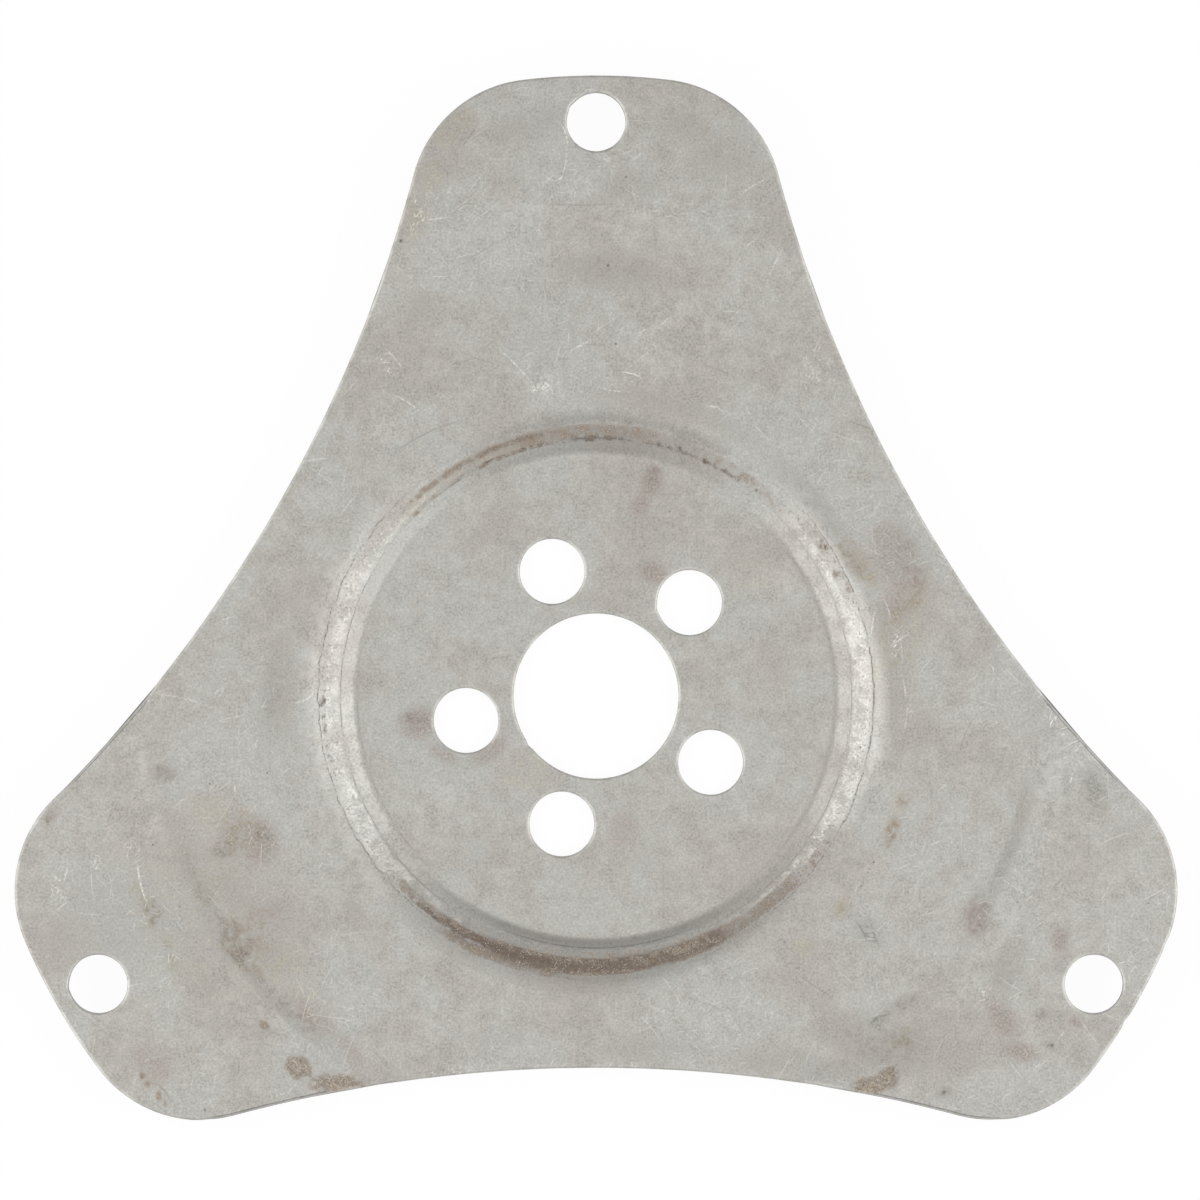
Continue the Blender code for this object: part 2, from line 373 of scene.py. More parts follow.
def pierce(shape, centre, radius):
    """Cut a round hole in the flat blank."""

    def place_at(share, inset):
        turn = Matrix.Rotation(math.tau * share, 3, "Z")
        return centre + turn @ Vector((radius + inset, 0.0, 0.0))

    def is_near(place):
        return (place - centre).length < radius + CUT_CLEARANCE

    cut_along(shape, HOLE_STEPS, place_at, is_near)


def cut_out(shape, arcs):
    """Cut the flat blank along its outline."""
    cut_along(
        shape,
        OUTLINE_STEPS,
        lambda share, inset: outline_place(arcs, share, inset + OUTLINE_PLAY),
        lambda place: outline_distance(arcs, place) < CUT_CLEARANCE,
    )


def thicken(shape, sizes):
    """Give the flat blank its thickness about its middle plane."""
    made = bmesh.ops.extrude_face_region(shape, geom=shape.faces[:], use_keep_orig=True)["geom"]
    lower = [item for item in made if isinstance(item, bmesh.types.BMVert)]
    bmesh.ops.translate(shape, verts=lower, vec=(0, 0, -sizes.thickness))
    bmesh.ops.translate(shape, verts=shape.verts, vec=(0, 0, sizes.thickness / 2))
    bmesh.ops.recalc_face_normals(shape, faces=shape.faces)
    shape.normal_update()


def is_wall(face):
    """Tell whether a face of the flat blank stands upright."""
    return abs(face.normal.z) < UPRIGHT


def roll_edges(shape, sizes):
    """Round the blank's edges: wide and shallow above, and a narrow break below."""
    half = sizes.thickness / 2
    for side, width, segments in ((1, sizes.roll_width, ROLL_SEGMENTS), (-1, sizes.burr_break, 1)):
        rim = []
        for edge in shape.edges:
            level = all(abs(vert.co.z - side * half) < LEVEL for vert in edge.verts)
            if level and sum(is_wall(face) for face in edge.link_faces) == 1:
                rim.append(edge)
        bmesh.ops.bevel(
            shape,
            geom=rim,
            offset=width,
            segments=segments,
            profile=0.5,
            affect="EDGES",
            clamp_overlap=False,
            material=-1,
        )
    flatten = sizes.roll_depth / sizes.roll_width
    for vert in shape.verts:
        depth = half - vert.co.z
        if LEVEL < depth < sizes.roll_width + LEVEL:
            vert.co.z = half - depth * flatten


def edge_distance(sizes, arcs, holes, place):
    """Return how far a place in the flat blank is from the nearest edge of the sheet."""
    nearest = min(place.xy.length - sizes.bore, outline_distance(arcs, place))
    for centre, radius in holes:
        nearest = min(nearest, (place.xy - centre.xy).length - radius)
    return max(0.0, nearest)


def smooth_step(low, high, value):
    """Return 0 below low, 1 above high and a smooth way between."""
    share = np.clip((value - low) / (high - low), 0.0, 1.0)
    return share * share * (3 - 2 * share)


# Noise scales per metre, and where the long waves and the torn band begin and end
WARP_SCALE = 16.0
WARP_START = 12 * MM
GALL_AROUND = 420.0
GALL_ACROSS = 900.0
GALL_START = 48.6 * MM
GALL_END = 52.9 * MM
GALL_BLUR = 0.6 * MM
GALL_SWING = 0.3


def unevenness(sizes, place, upper):
    """Return how far the worn sheet lies below its true form: long waves, and the torn band."""
    radius = place.xy.length
    wave = 0.5 + 0.5 * noise.noise(Vector((place.x, place.y, 0.0)) * WARP_SCALE)
    low = sizes.warp * wave * smooth_step(sizes.pad + WARP_START, sizes.tip, radius)
    if upper:
        band = smooth_step(GALL_START, GALL_START + GALL_BLUR, radius)
        band *= 1 - smooth_step(GALL_END - GALL_BLUR, GALL_END, radius)
        if band > 0:
            torn = noise.noise(Vector((place.x * GALL_ACROSS, place.y * GALL_ACROSS, 0.0)))
            drift = noise.noise(Vector((place.x * GALL_AROUND, place.y * GALL_AROUND, 3.0)))
            low += sizes.galling * band * (0.5 + GALL_SWING * torn + GALL_SWING * drift)
    return low


def press(shape, sizes):
    """Press the flat blank to its section, square to its middle line, and let it lie unevenly."""
    stretches = section_stretches(sizes)
    for vert in shape.verts:
        radius = vert.co.xy.length
        height, slope = pressed_place(stretches, radius)
        above = vert.co.z
        drop = unevenness(sizes, vert.co, above > 0)
        drawn = (radius - above * math.sin(slope)) / radius
        level = height + above * math.cos(slope) - drop
        vert.co = Vector((vert.co.x * drawn, vert.co.y * drawn, level))


BURR_STRETCHES = (
    # direction and half width in degrees
    (-4.5, 6.0),
    (184.5, 6.0),
    (232.0, 5.5),
    (-51.0, 5.5),
)
BURR_STEP = 0.24 * MM

# Share of a stretch where the burr begins to fade, and of the half thickness above which it is cut
BURR_FADE = 0.7
BURR_TOP = 0.2

NICKS = (
    # across and up from the bore, depth and width in mm
    (108.9, -47.5, 0.45, 0.9),
    (100.8, -61.9, 0.4, 0.8),
    (-99.4, -55.2, 0.22, 1.1),
    (-4.9, 111.9, 0.2, 0.7),
    (86.4, -59.3, -0.2, 0.6),
    (-12.9, -9.4, 0.25, 0.7),
    (11.4, 16.4, 0.2, 0.7),
    (-88.2, -81.4, 0.25, 0.8),
    (-38.2, 99.6, 0.2, 0.9),
)
NICK_REACH = 2.5

PROBE_STEP = 0.05 * MM
WHOLE_TURN = 360.0


def outward_at(distance, place):
    """Return the level direction in which the distance to an edge falls off at a place."""
    right, up = Vector((PROBE_STEP, 0, 0)), Vector((0, PROBE_STEP, 0))
    across = distance(place - right) - distance(place + right)
    along = distance(place - up) - distance(place + up)
    return Vector((across, along, 0.0)).normalized()


def burr_step(place):
    """Return how far the upper half of the cut is drawn back at a place on the outline."""
    direction = math.degrees(math.atan2(place.y, place.x))
    away = []
    for middle, half_width in BURR_STRETCHES:
        away.append(abs(math.remainder(direction - middle, WHOLE_TURN)) / half_width)
    return BURR_STEP * (1 - smooth_step(BURR_FADE, 1.0, min(away)))


def wear_edges(shape, sizes, arcs, holes):
    """Draw the cut back above, here and there, so that a burr stands below, and knock nicks in."""

    def to_outline(place):
        return outline_distance(arcs, place)

    def to_edge(place):
        return edge_distance(sizes, arcs, holes, place)

    burr_top = BURR_TOP * sizes.thickness / 2
    for vert in shape.verts:
        place = vert.co.copy()
        if to_outline(place) < sizes.roll_width and place.z > burr_top:
            step = burr_step(place)
            if step > 0:
                vert.co -= outward_at(to_outline, place) * step
        for x, y, depth, width in NICKS:
            apart = (place.xy - Vector((x, y)) * MM).length / (width * MM)
            if apart < NICK_REACH:
                vert.co -= outward_at(to_edge, place) * depth * MM * math.exp(-apart * apart)


# Stains, wear, painted shade and highlights, and single marks

# Shares of its half size up to which a patch covers fully, and past which it doesn't cover
PATCH_CORE = 0.3
PATCH_FADE = 1.3
PATCHES = {
    # across and up from the bore in mm, length and width in mm, turn in degrees, strength
    "violet": (
        (10.6, 41.2, 7.0, 5.0, 80.0, 1.0),
        (8.4, 36.4, 6.0, 4.2, 60.0, 0.7),
        (11.0, 23.6, 7.5, 4.6, -30.0, 1.0),
        (14.0, 20.0, 6.0, 3.0, -50.0, 0.4),
        (-33.6, -5.0, 10.0, 8.0, 10.0, 0.95),
        (-29.0, -11.0, 9.0, 4.0, -35.0, 0.7),
        (-20.6, -10.6, 10.0, 5.0, 35.0, 0.8),
        (-17.0, -5.5, 5.0, 6.0, 0.0, 0.4),
        (33.5, 5.0, 16.0, 12.0, 80.0, 0.3),
        (5.4, -25.2, 9.0, 7.0, 80.0, 0.55),
        (-2.0, 18.0, 14.0, 5.0, 0.0, 0.35),
        (4.2, 47.0, 11.0, 3.0, 0.0, 0.5),
        (58.5, 19.5, 18.0, 9.0, 65.0, 0.7),
        (56.5, 27.0, 16.0, 11.0, 110.0, 0.8),
        (54.4, 15.0, 12.0, 5.0, 78.0, 0.5),
        (49.5, 26.0, 16.0, 5.0, -52.0, 0.5),
        (74.0, 10.8, 10.0, 6.0, 60.0, 0.5),
        (56.6, -25.5, 9.0, 3.4, 75.0, 0.5),
        (72.5, -41.6, 9.0, 6.0, 85.0, 1.0),
        (87.9, -46.0, 6.0, 4.2, 90.0, 1.0),
        (77.0, -61.0, 10.0, 6.0, -60.0, 0.85),
        (80.5, -67.4, 9.0, 4.2, -12.0, 1.0),
        (91.4, -61.6, 3.6, 2.8, 0.0, 0.9),
        (-64.0, -27.2, 11.0, 9.0, -75.0, 1.0),
        (-68.0, -26.0, 11.0, 8.0, 80.0, 0.75),
        (-67.0, -46.6, 13.0, 10.0, -40.0, 0.6),
        (-63.6, -41.5, 16.0, 4.0, 28.0, 0.5),
        (-54.0, -60.5, 18.0, 5.0, -38.0, 0.7),
        (-47.0, -66.5, 12.0, 4.0, -52.0, 0.6),
        (-84.4, -69.6, 12.0, 8.0, -35.0, 0.6),
        (-103.6, -22.9, 4.4, 2.6, 60.0, 1.0),
        (-39.5, 33.5, 18.0, 4.0, 50.0, 0.6),
        (-59.0, 1.0, 18.0, 7.0, 80.0, 0.25),
    ),
    "olive": (
        (-73.4, -22.0, 14.0, 9.0, 0.0, 0.5),
        (-82.0, -14.2, 6.0, 3.6, 0.0, 0.5),
        (-67.6, -25.4, 14.0, 10.0, 90.0, 0.5),
        (-86.0, -39.0, 13.0, 4.0, -62.0, 0.9),
        (-80.6, -50.0, 16.0, 3.4, -66.0, 0.6),
        (-61.0, -50.0, 15.0, 10.0, 0.0, 0.6),
        (-55.0, -57.0, 15.0, 8.0, -45.0, 0.5),
        (-30.8, 99.0, 10.0, 6.0, 65.0, 0.7),
        (-34.0, 91.0, 10.0, 6.0, 80.0, 0.8),
        (-26.5, 108.0, 12.0, 6.0, 40.0, 0.7),
        (46.6, 67.6, 10.0, 7.0, -60.0, 0.5),
        (49.5, 26.0, 16.0, 5.0, -52.0, 0.6),
        (46.6, -40.0, 6.0, 4.6, 60.0, 0.8),
        (58.2, -19.8, 5.5, 4.6, 70.0, 0.6),
        (55.9, -26.0, 9.5, 4.0, 76.0, 0.5),
        (39.6, -47.4, 5.0, 4.0, 0.0, 0.8),
        (58.0, -65.5, 10.0, 6.0, 30.0, 0.6),
        (-12.5, -14.0, 16.0, 11.0, 0.0, 0.5),
        (30.0, 24.0, 20.0, 16.0, 0.0, 0.3),
        (-74.0, -42.0, 50.0, 36.0, -50.0, 0.35),
        (58.0, 12.0, 30.0, 14.0, 75.0, 0.5),
    ),
    "rust": (
        (-56.4, -70.3, 6.0, 4.6, -30.0, 1.1),
        (-49.2, -73.6, 12.0, 4.4, -4.0, 0.95),
        (-54.0, -72.6, 3.6, 1.4, -50.0, 0.9),
        (52.4, -73.8, 10.0, 4.0, 14.0, 1.0),
        (55.4, -72.2, 5.4, 4.6, 50.0, 1.0),
        (-86.6, -72.0, 8.0, 1.3, -34.0, 0.7),
        (-82.6, -75.8, 5.0, 1.3, -62.0, 0.8),
        (-84.2, -41.6, 7.0, 2.4, -58.0, 0.4),
        (-63.0, -62.6, 3.4, 2.4, -30.0, 0.7),
        (58.2, -19.8, 4.6, 3.6, 70.0, 0.43),
        (55.9, -26.0, 9.5, 3.2, 76.0, 0.42),
        (46.6, -40.0, 4.6, 3.4, 60.0, 0.32),
        (47.0, 25.6, 10.0, 3.0, -52.0, 0.12),
        (62.4, -66.0, 2.8, 1.6, 60.0, 0.6),
        (-103.9, -23.4, 3.6, 1.8, 60.0, 0.8),
        (52.6, -30.4, 6.0, 1.6, 70.0, 0.25),
    ),
    "smear_and_shade": (
        (2.5, 81.0, 24.0, 10.0, 0.0, 0.4),
        (-10.5, 67.5, 14.0, 8.0, 0.0, 0.2),
        (24.5, 102.7, 18.0, 13.0, 0.0, 0.32),
        (-12.0, 109.0, 24.0, 7.0, 15.0, 0.35),
        (16.5, 108.0, 20.0, 7.0, -15.0, 0.3),
        (6.5, 97.0, 14.0, 7.0, 0.0, 0.35),
        (-33.5, 74.0, 10.0, 8.0, 70.0, 0.35),
        (-60.6, 1.0, 28.0, 8.0, 82.0, 0.42),
        (62.5, -6.5, 20.0, 6.0, 90.0, 0.22),
        (-20.0, -64.6, 20.0, 6.0, 5.0, 0.22),
        (10.0, -66.5, 26.0, 7.0, 0.0, 0.3),
        (36.0, -69.0, 22.0, 7.0, -6.0, 0.35),
        (94.6, -18.0, 11.0, 5.5, -70.0, 0.75),
        (99.5, -27.0, 9.0, 5.0, 50.0, 0.4),
        (90.0, -31.0, 12.0, 4.0, 70.0, 0.15),
        (57.5, -58.8, 11.0, 3.0, 30.0, 0.7),
        (53.4, -61.4, 5.0, 2.2, 25.0, 0.9),
        (54.0, -66.0, 28.0, 12.0, -18.0, 0.5),
        (44.0, -71.0, 14.0, 5.0, 10.0, 0.5),
        (69.0, -68.0, 14.0, 8.0, -20.0, 0.3),
        (60.0, 26.0, 16.0, 10.0, 110.0, 0.3),
        (66.0, -75.0, 3.6, 3.2, 0.0, 0.8),
        (86.4, -66.0, 3.6, 3.0, 0.0, 0.8),
        (84.8, -60.0, 4.6, 3.4, 30.0, 0.6),
        (78.0, -52.0, 18.0, 8.0, 70.0, 0.4),
        (72.4, -41.0, 12.0, 5.0, 80.0, 0.5),
        (-81.8, -14.6, 6.0, 3.6, -10.0, 1.0),
        (-71.3, -29.4, 4.6, 3.4, 0.0, 0.9),
        (-84.0, -41.2, 10.0, 3.4, -62.0, 0.7),
        (-80.6, -49.0, 12.0, 2.6, -66.0, 0.45),
        (9.0, -31.4, 14.0, 10.0, 0.0, 0.2),
        (10.8, 42.2, 5.0, 3.6, 80.0, 0.35),
        (-34.6, -4.6, 7.0, 5.0, 0.0, 0.45),
        (-63.4, -26.2, 5.0, 4.0, -60.0, 0.5),
        (-61.9, -30.3, 3.4, 2.6, 0.0, 0.6),
        (51.8, -44.6, 9.0, 6.0, -45.0, 0.5),
        (-46.0, -40.0, 10.0, 3.0, -30.0, 0.3),
        # These two darken the left lobe as a whole.
        (-92.0, -42.0, 34.0, 30.0, 0.0, 0.3),
        (-72.0, -40.0, 46.0, 34.0, -50.0, 0.3),
        (56.0, 4.0, 24.0, 10.0, 80.0, 0.35),
        (-60.0, 16.0, 24.0, 14.0, 50.0, 0.12),
        (-24.0, -30.0, 20.0, 14.0, 20.0, 0.2),
    ),
    "light": (
        (-31.5, -20.0, 12.0, 10.0, 0.0, 0.7),
        (34.0, 22.0, 12.0, 10.0, 0.0, 0.5),
        (91.0, -8.0, 16.0, 7.0, -50.0, 0.9),
        (84.0, -19.0, 22.0, 7.0, 75.0, 0.85),
        (78.0, -37.0, 18.0, 5.0, 68.0, 0.7),
        (-79.0, -31.0, 24.0, 5.0, -70.0, 0.6),
        (-66.0, -56.5, 22.0, 6.0, -45.0, 0.7),
        (-9.5, 59.0, 12.0, 7.0, -40.0, 0.6),
        (15.0, 70.0, 34.0, 16.0, 20.0, 0.5),
        (-16.0, 92.0, 26.0, 9.0, 0.0, 0.5),
        (14.0, 92.0, 26.0, 7.0, 0.0, 0.4),
        (20.0, -60.0, 34.0, 9.0, 0.0, 0.5),
        (-30.0, -62.0, 30.0, 9.0, 0.0, 0.3),
        (-40.0, 50.0, 14.0, 8.0, 45.0, 0.6),
        (-53.0, -12.0, 24.0, 5.0, 80.0, 0.7),
        (54.5, -12.0, 26.0, 4.0, 88.0, 0.7),
    ),
    "scuff": (
        (-101.5, -36.0, 14.0, 5.0, 80.0, 0.7),
        (-39.4, 63.4, 7.0, 4.0, -50.0, 1.0),
        (-10.6, 59.4, 7.0, 4.0, 10.0, 1.0),
        (8.0, 60.0, 20.0, 3.4, 0.0, 0.5),
        (-28.0, -71.5, 14.0, 3.0, 8.0, 1.0),
        (5.0, -70.0, 16.0, 2.4, 0.0, 0.7),
        (87.0, -5.0, 9.0, 4.0, -45.0, 0.9),
        (57.0, 10.6, 9.0, 2.6, 78.0, 1.0),
        (58.7, -3.4, 7.0, 2.4, 90.0, 0.9),
        (91.8, -9.4, 5.0, 3.4, 0.0, 1.0),
        (74.5, -57.0, 9.0, 6.0, -50.0, 0.7),
        (3.5, 104.0, 14.0, 6.0, -20.0, 0.6),
        (-5.0, 97.0, 18.0, 9.0, 10.0, 0.5),
        (-33.5, 92.0, 12.0, 6.0, 80.0, 0.8),
        (42.0, 62.0, 16.0, 9.0, -65.0, 0.6),
        (-88.0, -29.0, 8.0, 4.0, -75.0, 0.9),
        (-94.4, -31.9, 5.0, 3.0, 0.0, 0.9),
        (-72.7, -45.9, 4.0, 2.6, 0.0, 1.0),
        (-80.0, -50.0, 5.0, 3.0, -60.0, 0.8),
        (-59.8, -75.0, 5.0, 3.0, -60.0, 1.0),
        (-84.6, -1.0, 9.0, 4.0, 20.0, 0.8),
        (-60.0, 22.0, 14.0, 8.0, 50.0, 0.4),
        (-30.0, 56.0, 14.0, 8.0, 60.0, 0.4),
        (21.0, -52.0, 9.0, 6.0, 30.0, 0.5),
        (70.0, 26.0, 14.0, 8.0, -60.0, 0.4),
        (100.0, -53.0, 16.0, 9.0, -50.0, 0.4),
        (107.0, -40.0, 16.0, 4.0, 80.0, 0.6),
        # These two paint glints: highlights in the torn band and on the crust.
        (-45.8, -19.6, 8.0, 2.8, -66.0, 1.0),
        (-12.9, 48.6, 5.0, 1.8, 15.0, 1.0),
        (-39.0, 32.0, 8.0, 2.4, 50.0, 0.9),
    ),
}
ARCS = {
    # direction and half width in degrees, inner and outer radius in mm, strength
    "crust": (
        (264.0, 27.0, 49.8, 52.9, 1.0),
        (242.0, 12.0, 50.5, 51.9, 1.0),
        (230.0, 11.0, 50.3, 52.3, 0.5),
        (250.0, 22.0, 52.2, 54.0, 0.6),
        (286.0, 21.0, 49.6, 52.7, 0.9),
        (307.0, 18.0, 49.9, 52.5, 0.54),
        (266.0, 40.0, 48.6, 49.8, 0.42),
        (92.0, 24.0, 49.2, 51.8, 0.5),
        (116.0, 26.0, 50.3, 51.6, 0.52),
        (122.0, 26.0, 48.4, 49.4, 0.36),
        (60.0, 24.0, 48.9, 51.6, 0.3),
        (30.0, 16.0, 50.4, 52.6, 0.28),
        (324.0, 12.0, 50.8, 52.6, 0.35),
    ),
    "olive": (
        (119.0, 32.0, 48.8, 51.6, 0.7),
    ),
    "violet": (
        (110.0, 26.0, 48.8, 51.8, 0.6),
        (86.0, 14.0, 47.2, 51.8, 0.4),
        (143.0, 16.0, 50.0, 52.4, 0.7),
    ),
    "soot": (
        (89.0, 11.0, 48.6, 49.7, 1.0),
        (68.0, 18.0, 48.7, 49.8, 0.75),
        (110.0, 22.0, 48.6, 49.3, 0.85),
        (110.0, 18.0, 50.4, 51.4, 0.6),
        (252.0, 17.0, 50.4, 52.4, 0.75),
        (236.0, 16.0, 51.3, 52.6, 0.75),
        (285.0, 30.0, 51.3, 52.6, 0.5),
        (266.0, 24.0, 50.3, 52.4, 0.6),
        (180.0, 34.0, 51.2, 52.5, 0.45),
        (40.0, 20.0, 50.6, 52.3, 0.38),
    ),
    # Painted shade: the foot of the dish below, the pad's edge at left and right, parts of the wall
    # and shoulders, and the lower bends of the side lobes' joggles.
    "smear_and_shade": (
        (270.0, 46.0, 45.9, 47.6, 0.42),
        (185.0, 70.0, 45.2, 46.0, 0.3),
        (0.0, 70.0, 45.2, 46.0, 0.5),
        (32.0, 12.0, 53.2, 55.8, 0.5),
        (150.0, 14.0, 46.4, 48.6, 0.3),
        (256.0, 42.0, 53.2, 56.8, 0.36),
        (42.0, 16.0, 53.4, 57.6, 0.4),
        (75.0, 30.0, 55.0, 59.0, 0.25),
        (215.0, 26.0, 81.8, 85.0, 0.6),
        (340.0, 13.0, 82.4, 85.6, 0.55),
    ),
    # Painted highlights: on the upper bends of the side lobes' joggles, on the dish's shoulder at
    # left and right, and on its wall at left and right.
    "light": (
        (205.0, 40.0, 86.5, 91.0, 0.6),
        (340.0, 34.0, 86.5, 91.0, 0.6),
        (-6.0, 19.0, 53.2, 55.8, 1.0),
        (178.0, 44.0, 53.2, 56.6, 0.9),
        (212.0, 18.0, 53.2, 55.8, 0.9),
        (202.0, 34.0, 46.2, 48.4, 1.0),
        (28.0, 16.0, 46.2, 48.4, 0.9),
    ),
    "torn": (
        (0.0, 1800.0, 49.0, 52.2, 0.35),
        (-8.0, 72.0, 49.0, 52.3, 1.0),
        (190.0, 75.0, 49.0, 52.3, 0.78),
    ),
    # Pale bands, partly painted highlights: those on the right shoulder and the left wall are
    # painted highlights; the one below is a lighter band along the inner edge of the torn band.
    "pale": (
        (268.0, 42.0, 48.5, 49.4, 1.0),
        (-4.0, 17.0, 53.3, 55.4, 0.45),
        (200.0, 30.0, 46.4, 48.2, 0.35),
    ),
    "crease": (
        (0.0, 1800.0, 47.0, 50.5, 0.3),
        (-8.0, 75.0, 47.0, 54.5, 0.9),
        (190.0, 75.0, 47.0, 54.5, 1.0),
        (112.0, 30.0, 47.0, 50.5, 0.8),
        (203.0, 34.0, 44.6, 46.4, 1.0),
    ),
}

# Share of its half width that an arc covers fully, and the blur of its two rims in mm
ARC_CORE = 0.4
ARC_BLUR = 0.5

STROKES = {
    # start and end across and up from the bore in mm, bow and width in mm, strength
    "light_marks": (
        (-7.4, 109.5, -5.6, 103.5, 0.8, 0.22, 0.75),
        (-18.7, 66.2, -11.2, 58.2, 0.3, 0.2, 0.75),
        (32.1, 77.3, 35.9, 85.6, 0.4, 0.18, 0.6),
        (26.6, 94.6, 34.0, 98.6, 0.5, 0.18, 0.5),
        (27.6, 84.5, 31.4, 87.4, 0.2, 0.18, 0.5),
        (-38.0, 57.1, -33.3, 54.0, 0.2, 0.22, 0.75),
        (-28.5, 94.6, -26.6, 97.5, 0.2, 0.16, 0.5),
        (-100.2, -31.3, -102.8, -37.0, 0.9, 0.24, 0.75),
        (-86.8, -30.7, -84.6, -39.8, -0.7, 0.3, 0.8),
        (-83.5, 0.5, -71.9, -2.5, 0.5, 0.16, 0.5),
        (-57.6, -1.2, -53.0, 1.4, -0.7, 0.26, 0.6),
        (-68.8, -15.5, -68.6, -19.1, 0.2, 0.18, 0.6),
        (7.4, -59.5, 12.7, -66.0, 0.3, 0.16, 0.5),
        (74.7, 6.8, 75.3, 3.3, 0.4, 0.22, 0.7),
        (81.0, 5.0, 86.5, -0.3, 0.2, 0.16, 0.45),
        (89.8, -16.8, 91.0, -13.4, 0.2, 0.26, 0.7),
        (91.6, -60.6, 95.8, -66.6, -0.3, 0.18, 0.5),
        (87.1, -65.9, 89.5, -62.9, 0.2, 0.18, 0.55),
        (52.2, 11.2, 53.3, 17.6, 0.2, 0.22, 0.6),
        # These two paint glints in the torn band.
        (-46.6, -17.4, -45.2, -19.8, 0.1, 0.5, 1.0),
        (-43.6, -22.4, -42.4, -24.8, 0.1, 0.4, 0.9),
    ),
    "more_light_marks": (
        (-5.6, 103.5, -8.4, 95.4, 0.8, 0.22, 0.6),
        (0.8, 101.8, 3.2, 98.8, 0.6, 0.2, 0.6),
        (-5.2, 65.2, -1.1, 67.4, 0.2, 0.28, 0.8),
        (-64.0, -6.2, -65.0, -10.0, 0.3, 0.18, 0.5),
        (-101.0, -39.4, -92.6, -41.0, -1.0, 0.15, 0.4),
        (12.0, -52.6, 16.8, -60.0, 0.4, 0.16, 0.5),
        (72.6, 4.6, 70.8, 3.0, 0.3, 0.2, 0.6),
        (92.0, -58.6, 101.4, -62.6, 0.3, 0.16, 0.4),
        (57.4, 12.6, 58.0, 6.0, 0.3, 0.18, 0.5),
        (-40.5, 66.3, -36.7, 62.2, 0.3, 0.22, 0.75),
        (-39.4, 63.8, -38.0, 62.8, 0.1, 0.4, 0.9),
        (4.2, 61.6, 8.8, 60.4, 0.4, 0.24, 0.8),
        (0.6, 58.8, 5.4, 58.0, -0.3, 0.22, 0.7),
        (-13.2, 58.2, -9.6, 57.4, 0.3, 0.24, 0.8),
        (21.2, 55.2, 24.0, 54.2, 0.3, 0.3, 0.8),
        (12.4, 70.2, 13.4, 71.6, 0.1, 0.3, 0.8),
        (8.4, 69.2, 9.8, 69.8, 0.1, 0.24, 0.7),
        (-3.4, 79.0, -2.6, 77.4, 0.1, 0.26, 0.8),
        (1.2, 102.4, 2.8, 101.7, 0.1, 0.36, 0.9),
        (-2.6, 95.8, -2.0, 94.2, 0.1, 0.26, 0.7),
        (-9.6, 59.6, -8.4, 58.4, 0.1, 0.4, 0.9),
        (54.6, 18.6, 56.0, 14.2, 0.2, 0.2, 0.7),
        (58.4, 3.0, 58.7, -0.8, 0.1, 0.26, 0.7),
        (58.9, -2.6, 58.6, -6.4, 0.1, 0.24, 0.7),
        (27.0, 71.0, 27.6, 83.0, 0.3, 0.16, 0.35),
    ),
    "dark_marks": (
        (-85.4, -72.8, -80.4, -77.6, 1.2, 0.4, 0.4),
        (-39.8, 44.8, -23.4, 52.7, 1.4, 0.26, 0.35),
        (-12.0, 93.6, 6.0, 93.6, -0.4, 0.24, 0.3),
        (-27.9, 80.5, -13.4, 88.7, 0.4, 0.26, 0.25),
        (49.3, -42.6, 51.6, -47.2, 0.3, 0.26, 0.55),
        (51.9, -41.4, 54.0, -48.0, -0.3, 0.26, 0.55),
        (85.9, -37.4, 89.2, -33.6, 0.2, 0.24, 0.35),
        (51.8, -62.2, 55.8, -60.2, 0.4, 0.4, 0.55),
        (56.0, -71.4, 57.8, -68.8, 0.2, 0.3, 0.5),
        (-24.0, -41.5, 24.0, -41.5, -6.4, 0.26, 0.55),
    ),
}
SPOTS = (
    # across and up from the bore, and radius, in mm
    (-74.1, -78.3, 0.45),
    (66.0, -75.0, 0.5),
    (86.5, -66.1, 0.5),
    (104.6, -39.1, 0.35),
    (73.2, -14.6, 0.3),
    (2.3, 81.8, 0.4),
    (3.8, 67.0, 0.4),
    (5.7, 98.5, 0.35),
    (-73.3, -16.6, 0.32),
    (-62.4, -14.5, 0.28),
    (-84.0, -28.1, 0.3),
    (-78.9, -39.9, 0.28),
    (-44.0, -58.3, 0.28),
    (-72.5, -52.5, 0.28),
    (14.0, 35.2, 0.3),
    (-40.9, 2.7, 0.28),
    (20.4, -32.6, 0.28),
    (-37.0, 86.4, 0.6),
    (11.9, 48.1, 0.7),
    (15.9, 47.0, 0.8),
    (20.8, 44.9, 0.7),
    (24.6, 43.0, 0.5),
    (30.5, 39.2, 0.5),
    (4.3, 49.0, 0.6),
    (-2.0, 50.1, 0.45),
    (52.7, -31.4, 0.3),
    (51.6, -33.4, 0.28),
    (50.3, -36.0, 0.3),
)

# Share of a stroke that tapers at each end, and in mm how far out a mark is stored and shows
STROKE_TAPER = 0.3
MARK_REACH = 6.0
MARK_HALO = 3.0

UPPER_HALF = 0.5


